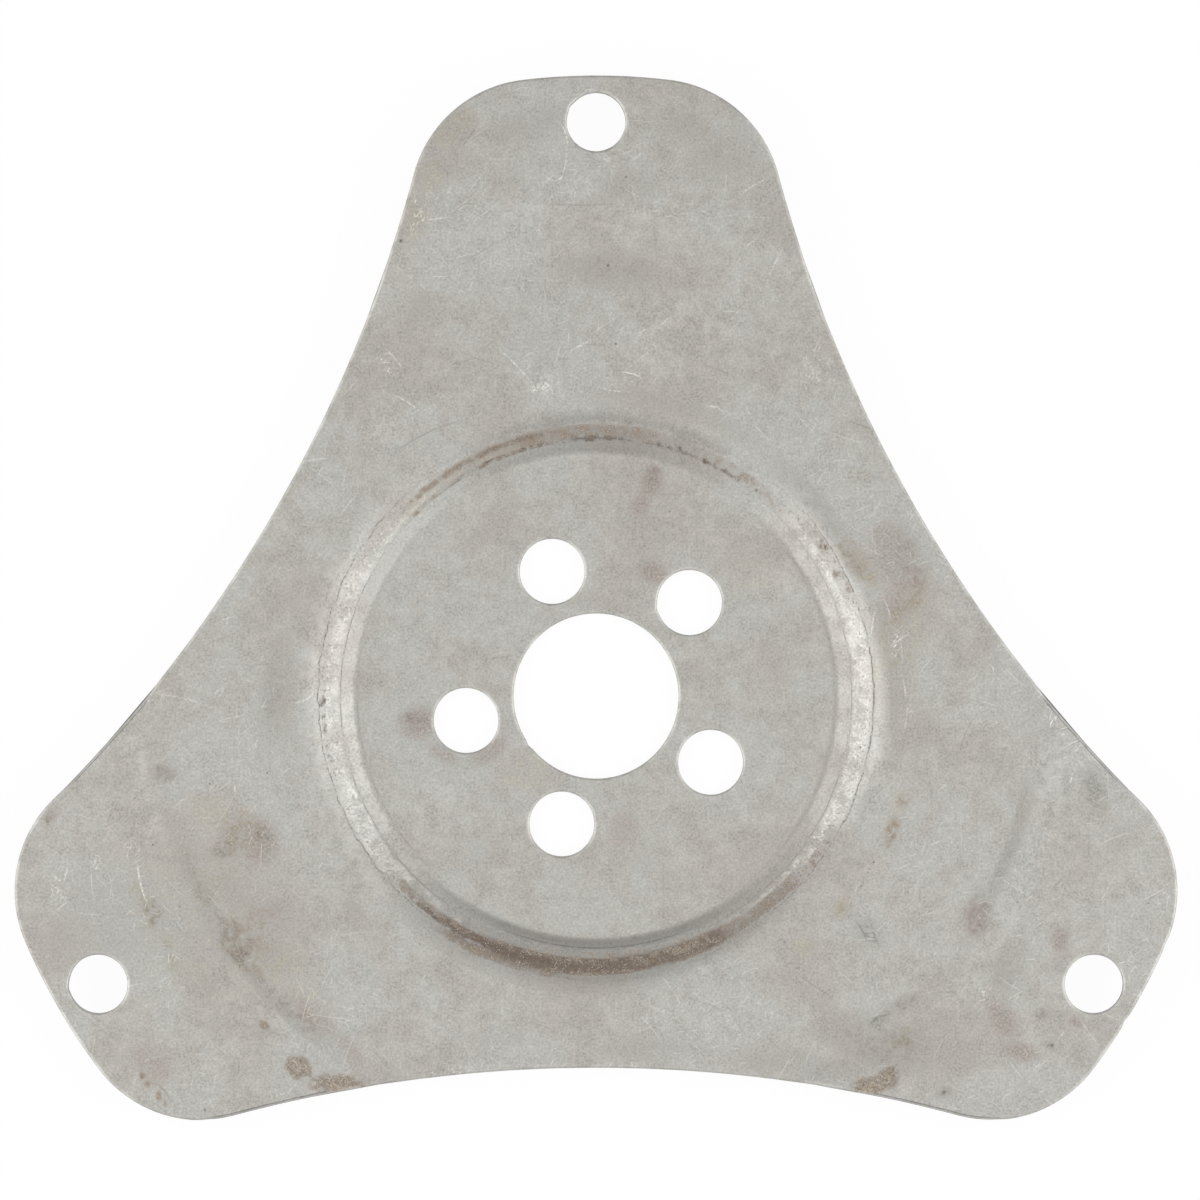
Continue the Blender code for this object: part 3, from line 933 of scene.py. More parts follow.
def stroke_offset(x, y, stroke):
    """Return how places lie to a bowed stroke.

    That is how far to its side over its width, nothing along it, how far away, and its strength.
    """
    start_x, start_y, end_x, end_y, bow, width, strength = stroke
    run_x, run_y = end_x - start_x, end_y - start_y
    length = math.hypot(run_x, run_y)
    along = ((x - start_x) * run_x + (y - start_y) * run_y) / length**2
    side = ((y - start_y) * run_x - (x - start_x) * run_y) / length - 4 * bow * along * (1 - along)
    beyond = np.maximum(np.abs(along - 0.5) - 0.5, 0.0) * length
    apart = np.hypot(side, beyond)
    taper = smooth_step(0.0, STROKE_TAPER, along)
    taper *= 1 - smooth_step(1.0 - STROKE_TAPER, 1.0, along)
    return side / width, np.zeros_like(side), apart, strength * taper


def spot_offset(x, y, spot):
    """Return how places lie to a spot: across and up over its radius, how far, and its strength."""
    middle_x, middle_y, size = spot
    across, up = x - middle_x, y - middle_y
    return across / size, up / size, np.hypot(across, up), np.ones_like(across)


def lay_marks(mesh, x, y, upper):
    """Store on the mesh where each single scratch and pit lies, seen from each place near it.

    Between the vertices these offsets run on evenly, so the marks come out far finer than the
    mesh is.
    """
    for layer_name, strokes in STROKES.items():
        marks = [stroke_offset(x, y, stroke) for stroke in strokes]
        if layer_name == "dark_marks":
            marks += [spot_offset(x, y, spot) for spot in SPOTS]
        offsets = np.full((len(x), 3), MARK_REACH, dtype=np.float32)
        strengths = np.zeros(len(x), dtype=np.float32)
        nearest = np.full(len(x), MARK_REACH)
        for across, up, apart, strength in marks:
            near = apart < nearest
            nearest[near] = apart[near]
            offsets[near] = np.column_stack((across, up, np.zeros_like(up)))[near]
            strengths[near] = (strength * (1 - smooth_step(MARK_HALO / 2, MARK_HALO, apart)))[near]
        offset_layer = mesh.attributes.new(layer_name, "FLOAT_VECTOR", "POINT")
        offset_layer.data.foreach_set("vector", offsets.ravel())
        strength_layer = mesh.attributes.new(layer_name + "_strength", "FLOAT", "POINT")
        strength_layer.data.foreach_set("value", np.where(upper, strengths, 0.0).astype(np.float32))


def patch_cover(x, y, patch):
    """Return how strongly a patch covers places on the sheet."""
    middle_x, middle_y, length, width, turn, strength = patch
    across, up = x - middle_x, y - middle_y
    cosine, sine = math.cos(math.radians(turn)), math.sin(math.radians(turn))
    along = (across * cosine + up * sine) / length
    aside = (up * cosine - across * sine) / width
    return strength * (1 - smooth_step(PATCH_CORE, PATCH_FADE, 2 * np.hypot(along, aside)))


def arc_cover(radius, direction, arc):
    """Return how strongly an arc round the dish or the joggle covers places on the sheet."""
    middle, half_width, inner, outer, strength = arc
    half_turn = WHOLE_TURN / 2
    turned = np.abs((direction - middle + half_turn) % WHOLE_TURN - half_turn)
    cover = strength * (1 - smooth_step(ARC_CORE, 1.0, turned / half_width))
    cover *= smooth_step(inner - ARC_BLUR, inner + ARC_BLUR, radius)
    return cover * (1 - smooth_step(outer - ARC_BLUR, outer + ARC_BLUR, radius))


def lay_wear_and_painted_light(mesh):
    """Store on the mesh how strongly each kind of wear, stain, painted shade and painted highlight
    covers its upper side.
    """
    count = len(mesh.vertices)
    places = np.empty(3 * count, dtype=np.float32)
    mesh.vertices.foreach_get("co", places)
    x, y = places.reshape(count, 3).T[:2] / MM
    depth = np.empty(count, dtype=np.float32)
    mesh.attributes["cut_depth"].data.foreach_get("value", depth)
    upper = depth < UPPER_HALF
    covers = {kind: np.zeros(count, dtype=np.float32) for kind in (*PATCHES, *ARCS)}
    for kind, patches in PATCHES.items():
        for patch in patches:
            covers[kind] = np.maximum(covers[kind], patch_cover(x, y, patch))
    radius, direction = np.hypot(x, y), np.degrees(np.arctan2(y, x))
    for kind, arcs in ARCS.items():
        for arc in arcs:
            covers[kind] = np.maximum(covers[kind], arc_cover(radius, direction, arc))
    for kind, cover in covers.items():
        layer = mesh.attributes.new(kind, "FLOAT", "POINT")
        layer.data.foreach_set("value", np.where(upper, cover, 0.0).astype(np.float32))
    lay_marks(mesh, x, y, upper)


def plate_mesh(sizes):
    """Return the mesh of the finished sheet, with attributes that say where its wear is."""
    shape = flat_disc(sizes)
    holes = [(centre, sizes.crank_hole) for centre in hole_centres(CRANK_OPENING)]
    holes += [(centre, sizes.converter_hole) for centre in hole_centres(CONVERTER_OPENING)]
    arcs = outline_arcs(sizes)
    cut_out(shape, arcs)
    for centre, radius in holes:
        pierce(shape, centre, radius)
    edges_wanted = AROUND_STEPS + OUTLINE_STEPS + HOLE_STEPS * len(holes)
    if sum(edge.is_boundary for edge in shape.edges) != edges_wanted:
        raise RuntimeError("The blank was not cut cleanly.")
    thicken(shape, sizes)
    roll_edges(shape, sizes)
    shape.normal_update()
    for face in shape.faces:
        face.material_index = int(is_wall(face))
    edge_layer = shape.verts.layers.float.new("edge_distance")
    depth_layer = shape.verts.layers.float.new("cut_depth")
    for vert in shape.verts:
        vert[edge_layer] = edge_distance(sizes, arcs, holes, vert.co) / MM
        vert[depth_layer] = 0.5 - vert.co.z / sizes.thickness
    wear_edges(shape, sizes, arcs, holes)
    press(shape, sizes)
    mesh = bpy.data.meshes.new("flexplate_sheet")
    shape.to_mesh(mesh)
    shape.free()
    mesh.shade_smooth()
    lay_wear_and_painted_light(mesh)
    return mesh


# Shader nodes


class Graph:
    """A node tree with short calls that add a node and feed it from values or sockets.

    Cycles puts off every node behind a change between vector, colour and value, and holds all
    that it has worked out until then, in a space that soon fills. So no call here changes the
    kind of a value by a bare link.
    """

    def __init__(self, tree):
        self.tree = tree

    def node(self, kind, inputs=(), **settings):
        """Add a node, set its properties, and fill its inputs, given as pairs of key and value."""
        made = self.tree.nodes.new(kind)
        made.location = (200 * (len(self.tree.nodes) // 6), -240 * (len(self.tree.nodes) % 6))
        for name, value in settings.items():
            setattr(made, name, value)
        for key, value in inputs:
            self.feed(made.inputs[key], value)
        return made

    def feed(self, socket, value):
        """Link a socket to another, or set its value."""
        if isinstance(value, bpy.types.NodeSocket):
            self.tree.links.new(value, socket)
        else:
            socket.default_value = value

    def math(self, operation, first, second=0.0):
        """Return the result of a Math node."""
        inputs = [(0, first), (1, second)]
        return self.node("ShaderNodeMath", inputs, operation=operation).outputs[0]

    def add(self, first, second):
        """Return the sum of two values."""
        return self.math("ADD", first, second)

    def minus(self, first, second):
        """Return the first value less the second."""
        return self.math("SUBTRACT", first, second)

    def times(self, *factors):
        """Return the product of values."""
        product = factors[0]
        for factor in factors[1:]:
            product = self.math("MULTIPLY", product, factor)
        return product

    def vector(self, operation, first, second=(0, 0, 0)):
        """Return the vector that a Vector Math node makes."""
        inputs = [(0, first), (1, second)]
        return self.node("ShaderNodeVectorMath", inputs, operation=operation).outputs[0]

    def scaled(self, vector, scale):
        """Return a vector made longer or shorter by one factor."""
        made = self.node("ShaderNodeVectorMath", [(0, vector)], operation="SCALE")
        self.feed(made.inputs["Scale"], scale)
        return made.outputs[0]

    def length(self, vector):
        """Return the length of a vector."""
        return self.node("ShaderNodeVectorMath", [(0, vector)], operation="LENGTH").outputs["Value"]

    def dot(self, first, second):
        """Return the dot product of two vectors."""
        inputs = [(0, first), (1, second)]
        return self.node("ShaderNodeVectorMath", inputs, operation="DOT_PRODUCT").outputs["Value"]

    def part(self, vector, axis):
        """Return one part of a vector."""
        return self.dot(vector, tuple(float(axis == number) for number in range(3)))

    def channels(self, colour):
        """Return the three channels of a colour."""
        return self.node("ShaderNodeSeparateColor", [(0, colour)]).outputs

    def join(self, x, y, z=0.0):
        """Return a vector of three parts."""
        return self.node("ShaderNodeCombineXYZ", [(0, x), (1, y), (2, z)]).outputs[0]

    def turned(self, vector, angle):
        """Return a vector turned about Z."""
        made = self.node("ShaderNodeVectorRotate", [("Vector", vector)], rotation_type="Z_AXIS")
        self.feed(made.inputs["Angle"], angle)
        return made.outputs[0]

    def ramp(self, value, low, high, start=0.0, end=1.0):
        """Return a smooth step from start, where the value is low, to end, where it is high."""
        inputs = [("Value", value), ("From Min", low), ("From Max", high)]
        inputs += [("To Min", start), ("To Max", end)]
        return self.node("ShaderNodeMapRange", inputs, interpolation_type="SMOOTHSTEP").outputs[0]

    def fall(self, value, low, high):
        """Return a smooth step from 1, where the value is low, down to 0, where it is high."""
        return self.ramp(value, low, high, 1.0, 0.0)

    def band(self, value, low, high, blur):
        """Return 1 between low and high, and 0 outside, with blurred edges."""
        rise = self.ramp(value, self.minus(low, blur), self.add(low, blur))
        fall = self.fall(value, self.minus(high, blur), self.add(high, blur))
        return self.times(rise, fall)

    def noise(self, vector, size, detail=2.0, roughness=0.5, dimensions="2D"):
        """Return noise between about 0 and 1, with features of a size in the vector's unit."""
        inputs = [("Vector", vector), ("Scale", 1 / size)]
        inputs += [("Detail", detail), ("Roughness", roughness)]
        return self.node("ShaderNodeTexNoise", inputs, noise_dimensions=dimensions).outputs["Fac"]

    def mix(self, factor, first, second, blend="MIX"):
        """Return a mix of two colours."""
        made = self.node("ShaderNodeMix", data_type="RGBA", blend_type=blend, clamp_factor=True)
        for key, value in ((0, factor), (6, first), (7, second)):
            self.feed(made.inputs[key], value)
        return made.outputs[2]

    def blend(self, factor, first, second):
        """Return a mix of two values."""
        made = self.node("ShaderNodeMix", data_type="FLOAT", clamp_factor=True)
        for key, value in ((0, factor), (2, first), (3, second)):
            self.feed(made.inputs[key], value)
        return made.outputs[0]

    def group(self, tree, **inputs):
        """Return the first output of a node group whose inputs are given by name."""
        return self.node("ShaderNodeGroup", inputs.items(), node_tree=tree).outputs[0]


def new_group(name, inputs):
    """Return a new node group's graph and its inputs, asked for as pairs of name and default."""
    tree = bpy.data.node_groups.new(name, "ShaderNodeTree")
    for label, default in inputs:
        is_vector = isinstance(default, tuple)
        kind = "NodeSocketVector" if is_vector else "NodeSocketFloat"
        socket = tree.interface.new_socket(name=label, in_out="INPUT", socket_type=kind)
        socket.default_value = default
    tree.interface.new_socket(name="Result", in_out="OUTPUT", socket_type="NodeSocketFloat")
    graph = Graph(tree)
    given = graph.node("NodeGroupInput").outputs
    return graph, given


def close_group(graph, result):
    """Feed a group's output and return its tree."""
    graph.node("NodeGroupOutput", [(0, result)])
    return graph.tree


def scratch_group():
    """Return a group that draws short bent scratches in any direction, one at most in a cell."""
    inputs = [("Position", (0.0, 0.0, 0.0)), ("Spacing", 8.0), ("Length", 6.0), ("Width", 0.15)]
    inputs += [("Share", 0.5), ("Bend", 0.6), ("Seed", 0.0)]
    graph, given = new_group("scratches", inputs)
    cell_size = graph.join(given["Spacing"], given["Spacing"], 1.0)
    place = graph.vector("DIVIDE", given["Position"], cell_size)
    place = graph.vector("ADD", place, graph.join(given["Seed"], graph.times(given["Seed"], 1.7)))
    pattern = [("Vector", place), ("Scale", 1.0)]
    cell = graph.node("ShaderNodeTexVoronoi", pattern, voronoi_dimensions="2D")
    chance = graph.channels(cell.outputs["Color"])
    away = graph.vector("SUBTRACT", place, cell.outputs["Position"])
    away = graph.turned(away, graph.times(chance[0], math.tau))
    forward, sideways = graph.part(away, 0), graph.part(away, 1)
    along = graph.times(forward, given["Spacing"])
    bend = graph.times(graph.minus(chance[1], 0.5), given["Bend"])
    across = graph.add(sideways, graph.times(bend, forward, forward))
    across = graph.times(graph.math("ABSOLUTE", across), given["Spacing"])
    core, rim = graph.times(given["Width"], 0.15), graph.times(given["Width"], 0.6)
    line = graph.fall(across, core, rim)
    reach = graph.times(given["Length"], 0.5, graph.add(0.35, chance[1]))
    ends = graph.fall(graph.math("ABSOLUTE", along), graph.times(reach, 0.5), reach)
    there = graph.math("LESS_THAN", chance[2], given["Share"])
    depth = graph.add(0.35, graph.times(chance[0], 0.65))
    return close_group(graph, graph.times(line, ends, there, depth))


class Finish:
    """The colour, roughness, metal and height of a surface, to which layers are added in turn."""

    def __init__(self, graph, colour, roughness, metal):
        self.graph = graph
        self.colour = colour
        self.roughness = roughness
        self.metal = metal
        self.height = 0.0

    def cover(self, mask, colour=None, roughness=None, metal=None):
        """Lay a finish over the surface where the mask is 1."""
        graph = self.graph
        if colour is not None:
            self.colour = graph.mix(mask, self.colour, colour)
        if roughness is not None:
            self.roughness = graph.blend(mask, self.roughness, roughness)
        if metal is not None:
            self.metal = graph.blend(mask, self.metal, metal)

    def tint(self, mask, colour):
        """Multiply the colour by another where the mask is 1, which lets the grain below show."""
        self.colour = self.graph.mix(mask, self.colour, colour, "MULTIPLY")

    def shade(self, factor):
        """Multiply the colour by a value that varies round 1."""
        inputs = [(channel, factor) for channel in range(3)]
        grey = self.graph.node("ShaderNodeCombineColor", inputs).outputs[0]
        self.colour = self.graph.mix(1.0, self.colour, grey, "MULTIPLY")

    def lift(self, height):
        """Raise the surface by a height in millimetres."""
        self.height = self.graph.add(self.height, height)


def rgba(colour):
    """Return a colour property as four numbers."""
    return (*colour, 1.0)


def attribute(graph, name):
    """Return a named attribute of the mesh."""
    return graph.node("ShaderNodeAttribute", attribute_name=name).outputs["Fac"]


class Cloud:
    """The noises that several layers of the sheet's finish share."""

    def __init__(self, graph, position):
        self.broad = graph.noise(position, size=24.0, detail=4.0, roughness=0.6)
        self.patchy = graph.noise(position, size=5.0, detail=4.0, roughness=0.68)
        self.ragged = graph.noise(position, size=1.7, detail=3.0, roughness=0.7)
        self.grain = graph.noise(position, size=0.45, detail=2.0, roughness=0.7)


def haze_layers(finish, cloud, colours):
    """Lay the cloudy greys of old rolled steel and its fine grain."""
    graph = finish.graph
    tone = graph.add(cloud.broad, graph.times(graph.minus(cloud.patchy, 0.5), 0.4))
    finish.cover(graph.ramp(tone, 0.45, 0.66), rgba(colours.cool))
    finish.cover(graph.fall(tone, 0.32, 0.53), rgba(colours.warm), roughness=0.58)
    finish.shade(graph.ramp(cloud.patchy, 0.25, 0.75, 0.965, 1.035))
    finish.shade(graph.ramp(cloud.ragged, 0.25, 0.75, 0.945, 1.05))
    finish.shade(graph.ramp(cloud.grain, 0.25, 0.75, 0.87, 1.12))
    specks = graph.times(graph.fall(cloud.grain, 0.36, 0.44), graph.fall(cloud.patchy, 0.36, 0.52))
    finish.cover(graph.times(specks, 0.14), rgba(colours.dirt))
    finish.height = graph.add(graph.times(cloud.grain, 0.012), graph.times(cloud.patchy, 0.05))


# How far each noise moves the rim of a stain
RAGGED_SHARE = 2.2
GRAIN_SHARE = 1.8
PATCHY_SHARE = 2.4


def stain_layers(finish, cloud, colours):
    """Lay the thin stains and rust where the mesh has them, with ragged edges and gaps, and the
    painted shade and highlights that share their layers.
    """
    graph = finish.graph
    ragged = graph.times(cloud.ragged, RAGGED_SHARE)
    ragged = graph.add(ragged, graph.times(cloud.grain, GRAIN_SHARE))
    patchy = graph.add(ragged, graph.times(cloud.patchy, PATCHY_SHARE))
    ragged = graph.minus(ragged, (RAGGED_SHARE + GRAIN_SHARE) / 2)
    patchy = graph.minus(patchy, (RAGGED_SHARE + GRAIN_SHARE + PATCHY_SHARE) / 2)

    def spread(kind, uneven, low, high):
        """Return where a kind of stain lies, and its unbroken level."""
        there = attribute(graph, kind)
        level = graph.add(there, graph.times(uneven, graph.ramp(there, 0.0, 0.6)))
        return graph.times(graph.ramp(level, low, high), grainy), level

    grainy = graph.ramp(cloud.grain, 0.38, 0.6, 1.0, 0.55)
    # This tint lays smeared dirt where the patches lie, and painted shade where the arcs lie.
    finish.tint(spread("smear_and_shade", patchy, 0.0, 1.0)[0], rgba(colours.smear_and_shade))
    finish.tint(spread("olive", patchy, 0.0, 1.0)[0], rgba(colours.olive))
    violet = spread("violet", graph.times(patchy, 0.6), 0.0, 1.0)[0]
    finish.tint(violet, rgba(colours.violet))
    finish.cover(violet, roughness=0.6)
    # Besides lighter patches of steel, this layer paints highlights where its arcs lie on the bends
    # of the dish and joggles.
    light = graph.times(spread("light", patchy, 0.1, 1.1)[0], 0.14)
    finish.cover(light, rgba(colours.bright), roughness=0.5)
    rusted, level = spread("rust", ragged, 0.1, 0.8)
    finish.tint(rusted, rgba(colours.rust))
    finish.cover(graph.times(rusted, 0.7), roughness=0.85, metal=0.4)
    rim = graph.times(graph.ramp(level, 0.35, 0.5), graph.ramp(level, 0.6, 0.95, 0.4, 0.06))
    thick = graph.ramp(attribute(graph, "rust"), 0.15, 0.6)
    finish.cover(graph.times(rim, thick), rgba(colours.crust))


SCRATCH_INPUTS = ("Spacing", "Length", "Width", "Share", "Bend", "Seed")
LIGHT_SCRATCHES = (
    # spacing, length and width in mm, share of cells, bend and seed, then the level of the broad
    # noise where they begin to crowd, how many of them lie elsewhere, and strength
    ((8.0, 6.0, 0.18, 0.4, 0.5, 3.7), 0.42, 0.5, 0.5),
    ((4.2, 3.0, 0.15, 0.45, 0.7, 9.0), 0.38, 0.0, 0.5),
    ((14.0, 11.0, 0.18, 0.35, 0.3, 14.3), 0.34, 0.5, 0.45),
    ((2.2, 1.9, 0.13, 0.6, 0.8, 19.6), 0.3, 0.0, 0.6),
)
DARK_SCRATCHES = (9.0, 7.0, 0.3, 0.4, 0.6, 31.0)
CROWDED = 0.62

# How far the flecks of a scuffed place are turned, and their width over their length
FLECK_TURN = math.radians(35.0)
FLECK_SLIM = 0.3

# Radii in mm between which the handled field takes over from the sheltered pad
HANDLED_START = 52.0
HANDLED_END = 60.0


def scratch_layers(finish, position, radius, cloud, colours, scratches):
    """Lay the fine bright scratches, dense in places and few on the pad, and some dark ones."""
    graph = finish.graph
    handled = graph.ramp(radius, HANDLED_START, HANDLED_END, 0.1, 1.0)
    scuffed = attribute(graph, "scuff")
    for values, crowd_start, elsewhere, strength in LIGHT_SCRATCHES:
        crowd = graph.ramp(cloud.broad, crowd_start, CROWDED, elsewhere, 1.0)
        crowd = graph.add(crowd, graph.times(scuffed, 1.2))
        inputs = dict(zip(SCRATCH_INPUTS, values))
        lines = graph.group(scratches, Position=position, **inputs)
        lines = graph.times(lines, crowd, handled, strength)
        finish.cover(lines, rgba(colours.bright), roughness=0.35)
    inputs = dict(zip(SCRATCH_INPUTS, DARK_SCRATCHES))
    lines = graph.group(scratches, Position=position, **inputs)
    lines = graph.times(lines, graph.ramp(cloud.broad, 0.4, 0.6, 1.0, 0.2), 0.3)
    finish.cover(lines, rgba(colours.dirt))
    stretched = graph.turned(position, FLECK_TURN)
    stretched = graph.vector("MULTIPLY", stretched, (1.0, FLECK_SLIM, 1.0))
    fine = graph.noise(stretched, size=0.34, detail=2.0, roughness=0.6)
    flecks = graph.times(graph.ramp(fine, 0.54, 0.66), graph.ramp(cloud.ragged, 0.42, 0.6))
    flecks = graph.times(flecks, graph.ramp(scuffed, 0.2, 0.9), 0.8)
    finish.cover(flecks, rgba(colours.bright), roughness=0.4)


def placed_marks(finish, cloud, colours):
    """Lay the scratches and pits that stand out one by one."""
    graph = finish.graph
    wobble = graph.vector("SUBTRACT", graph.join(cloud.ragged, cloud.patchy), (0.5, 0.5, 0.0))
    finely_broken = graph.ramp(cloud.grain, 0.36, 0.56, 0.3, 1.0)
    broken = graph.times(finely_broken, graph.ramp(cloud.ragged, 0.36, 0.5, 0.3, 1.0))
    for layer_name in STROKES:
        offset = graph.node("ShaderNodeAttribute", attribute_name=layer_name).outputs["Vector"]
        apart = graph.length(graph.vector("ADD", offset, graph.scaled(wobble, 1.2)))
        strength = attribute(graph, layer_name + "_strength")
        line = graph.times(graph.fall(apart, 0.2, 0.9), strength)
        colour = colours.dirt if layer_name == "dark_marks" else colours.bright
        finish.cover(graph.times(line, broken), rgba(colour))


# Dark lines round the dish, by inner and outer radius and blur in mm
PAD_LINE = (45.44, 45.54, 0.12)
TORN_INNER_LINE = (48.6, 48.74, 0.1)
TORN_OUTER_LINE = (52.66, 52.82, 0.12)

# Radii in mm between which the pits of the torn band grow dense
PITS_START = 49.6
PITS_END = 51.2


def dish_wall(finish, position, radius, cloud, upper, colours):
    """Lay the wear of the dish's wall.

    A torn band lies between two dark broken lines, and a third one follows the edge of the pad.
    Pale bands along its bends are partly painted highlights.
    """
    graph = finish.graph
    wander = graph.minus(graph.noise(position, size=4.0, detail=3.0, roughness=0.6), 0.5)
    wander = graph.times(wander, 1.1)
    outer = graph.add(radius, wander)
    inner = graph.add(radius, graph.times(wander, 0.35))
    torn = attribute(graph, "torn")
    white = graph.ramp(graph.add(cloud.ragged, cloud.patchy), 0.8, 1.2, 0.12, 0.6)
    finish.cover(graph.times(torn, white), rgba(colours.bright), roughness=0.55, metal=0.62)
    flecks = graph.times(graph.ramp(cloud.grain, 0.56, 0.66), graph.ramp(cloud.ragged, 0.5, 0.62))
    finish.cover(graph.times(torn, flecks, 0.6), rgba(colours.bright), roughness=0.4)
    pits = graph.times(graph.fall(cloud.grain, 0.36, 0.43), graph.ramp(cloud.ragged, 0.4, 0.56))
    pits = graph.times(torn, pits, graph.ramp(outer, PITS_START, PITS_END, 0.25, 1.0), 0.5)
    finish.cover(pits, rgba(colours.dirt), roughness=0.7)
    broken = graph.ramp(graph.add(cloud.ragged, cloud.patchy), 0.86, 1.06)
    # The pale bands paint highlights on the right shoulder and the left wall, and a lighter band
    # along the inner edge of the torn band below.
    pale = graph.ramp(graph.add(cloud.ragged, cloud.grain), 0.8, 1.2, 0.1, 0.5)
    pale = graph.times(attribute(graph, "pale"), pale)
    finish.cover(pale, rgba(colours.bright), roughness=0.5, metal=0.62)
    drawn = attribute(graph, "crease")
    dashed = graph.times(broken, graph.ramp(cloud.grain, 0.44, 0.56, 1.0, 0.65))
    for line, gaps, strength in (
        (graph.band(radius, *PAD_LINE), broken, 0.5),
        (graph.band(inner, *TORN_INNER_LINE), broken, 0.5),
        (graph.band(outer, *TORN_OUTER_LINE), dashed, 0.82),
    ):
        line = graph.times(line, gaps, drawn, upper, strength)
        finish.cover(line, rgba(colours.dirt), roughness=0.8)
    rough = graph.add(graph.times(cloud.ragged, 0.16), graph.times(cloud.grain, 0.05))
    finish.lift(graph.times(torn, rough))


# How much each noise adds to the lumps of the crust
RAGGED_LUMPS = 1.3
PATCHY_LUMPS = 0.9
GRAIN_LUMPS = 0.5


def crust_layer(finish, position, cloud, colours):
    """Lay the rusty crust that has gathered in the torn band, the black flecks in it, and painted
    glints on it.
    """
    graph = finish.graph
    lumps = graph.times(cloud.ragged, RAGGED_LUMPS)
    lumps = graph.add(lumps, graph.times(cloud.patchy, PATCHY_LUMPS))
    lumps = graph.add(lumps, graph.times(cloud.grain, GRAIN_LUMPS))
    lumps = graph.minus(lumps, (RAGGED_LUMPS + PATCHY_LUMPS + GRAIN_LUMPS) / 2)
    crust = attribute(graph, "crust")
    grown = graph.ramp(graph.add(crust, graph.times(lumps, 1.1)), 0.1, 0.8)
    grown = graph.times(grown, graph.ramp(crust, 0.0, 0.3))
    tint = graph.mix(graph.ramp(lumps, -0.2, 0.24), rgba(colours.crust), rgba(colours.scale))
    finish.cover(graph.times(grown, 0.88), tint, roughness=0.9, metal=0.1)
    soot = attribute(graph, "soot")
    flecks = graph.ramp(graph.add(soot, graph.times(lumps, 1.1)), 0.38, 0.95)
    flecks = graph.times(flecks, graph.ramp(soot, 0.0, 0.25))
    finish.cover(graph.times(flecks, 0.7), rgba(colours.soot), roughness=0.95, metal=0.0)
    # The glints are painted highlights: fine bright flecks over the crust.
    fine = graph.noise(position, size=0.24, detail=1.0, roughness=0.6)
    glints = graph.times(graph.ramp(fine, 0.52, 0.68), graph.ramp(cloud.ragged, 0.4, 0.62))
    finish.cover(graph.times(grown, glints, 0.42), rgba(colours.bright), roughness=0.7)
    pits = graph.times(grown, graph.fall(cloud.grain, 0.34, 0.46), 0.28)
    finish.cover(pits, rgba(colours.soot), roughness=0.95)
    finish.lift(graph.times(crust, cloud.ragged, 0.12))


def edge_layer(finish, cloud, colours):
    """Lay the brighter rolled edge: a painted highlight, in uneven patches."""
    graph = finish.graph
    near = graph.fall(attribute(graph, "edge_distance"), 0.1, 0.75)
    uneven = graph.ramp(cloud.patchy, 0.35, 0.6, 0.3, 1.0)
    finish.cover(graph.times(near, uneven, 0.34), rgba(colours.bright), roughness=0.42)


def steel_position(graph):
    """Return the place on the sheet in millimetres."""
    coordinates = graph.node("ShaderNodeTexCoord").outputs["Object"]
    return graph.scaled(coordinates, 1 / MM)


def new_material(name):
    """Return a new material, its graph and its Principled BSDF."""
    material = bpy.data.materials.new(name)
    material.use_nodes = True
    return material, Graph(material.node_tree), material.node_tree.nodes["Principled BSDF"]


RELIEF_STRENGTH = 0.8


def finish_material(graph, shader, finish):
    """Feed a Principled BSDF from a finish."""
    graph.feed(shader.inputs["Base Color"], finish.colour)
    graph.feed(shader.inputs["Roughness"], finish.roughness)
    graph.feed(shader.inputs["Metallic"], finish.metal)
    relief = [("Height", finish.height), ("Distance", MM), ("Strength", RELIEF_STRENGTH)]
    bump = graph.node("ShaderNodeBump", relief)
    graph.feed(shader.inputs["Normal"], bump.outputs[0])


def sheet_steel(colours):
    """Return the material of the sheet's two faces."""
    material, graph, shader = new_material("plate_steel")
    position = steel_position(graph)
    cloud = Cloud(graph, position)
    radius = graph.length(graph.vector("MULTIPLY", position, (1.0, 1.0, 0.0)))
    upper = graph.fall(attribute(graph, "cut_depth"), 0.3, 0.6)
    finish = Finish(graph, rgba(colours.steel), roughness=0.52, metal=0.78)
    haze_layers(finish, cloud, colours)
    stain_layers(finish, cloud, colours)
    scratch_layers(finish, position, radius, cloud, colours, scratch_group())
    placed_marks(finish, cloud, colours)
    dish_wall(finish, position, radius, cloud, upper, colours)
    crust_layer(finish, position, cloud, colours)
    edge_layer(finish, cloud, colours)
    finish_material(graph, shader, finish)
    return material


# Width over height of the fine lines down the cut
SHEAR_LINE_SLIM = 0.12


def sheared_steel(colours):
    """Return the material of the cut edges: burnished above and torn below, finely lined."""
    material, graph, shader = new_material("sheared_steel")
    position = steel_position(graph)
    depth = attribute(graph, "cut_depth")
    uneven = graph.noise(position, size=1.6, dimensions="3D")
    torn = graph.ramp(graph.add(depth, graph.times(uneven, 0.25)), 0.45, 0.6)
    finish = Finish(graph, rgba(colours.steel), roughness=0.38, metal=0.85)
    drawn_out = graph.vector("MULTIPLY", position, (1.0, 1.0, SHEAR_LINE_SLIM))
    lines = graph.noise(drawn_out, size=0.3, dimensions="3D")
    finish.shade(graph.ramp(lines, 0.3, 0.7, 0.9, 1.05))
    grit = graph.noise(position, size=0.22, detail=3.0, roughness=0.7, dimensions="3D")
    finish.cover(graph.times(torn, 0.75), rgba(colours.dirt), roughness=0.75)
    finish.height = graph.add(graph.times(torn, grit, 0.12), graph.times(lines, 0.02))
    finish_material(graph, shader, finish)
    return material


# Studio

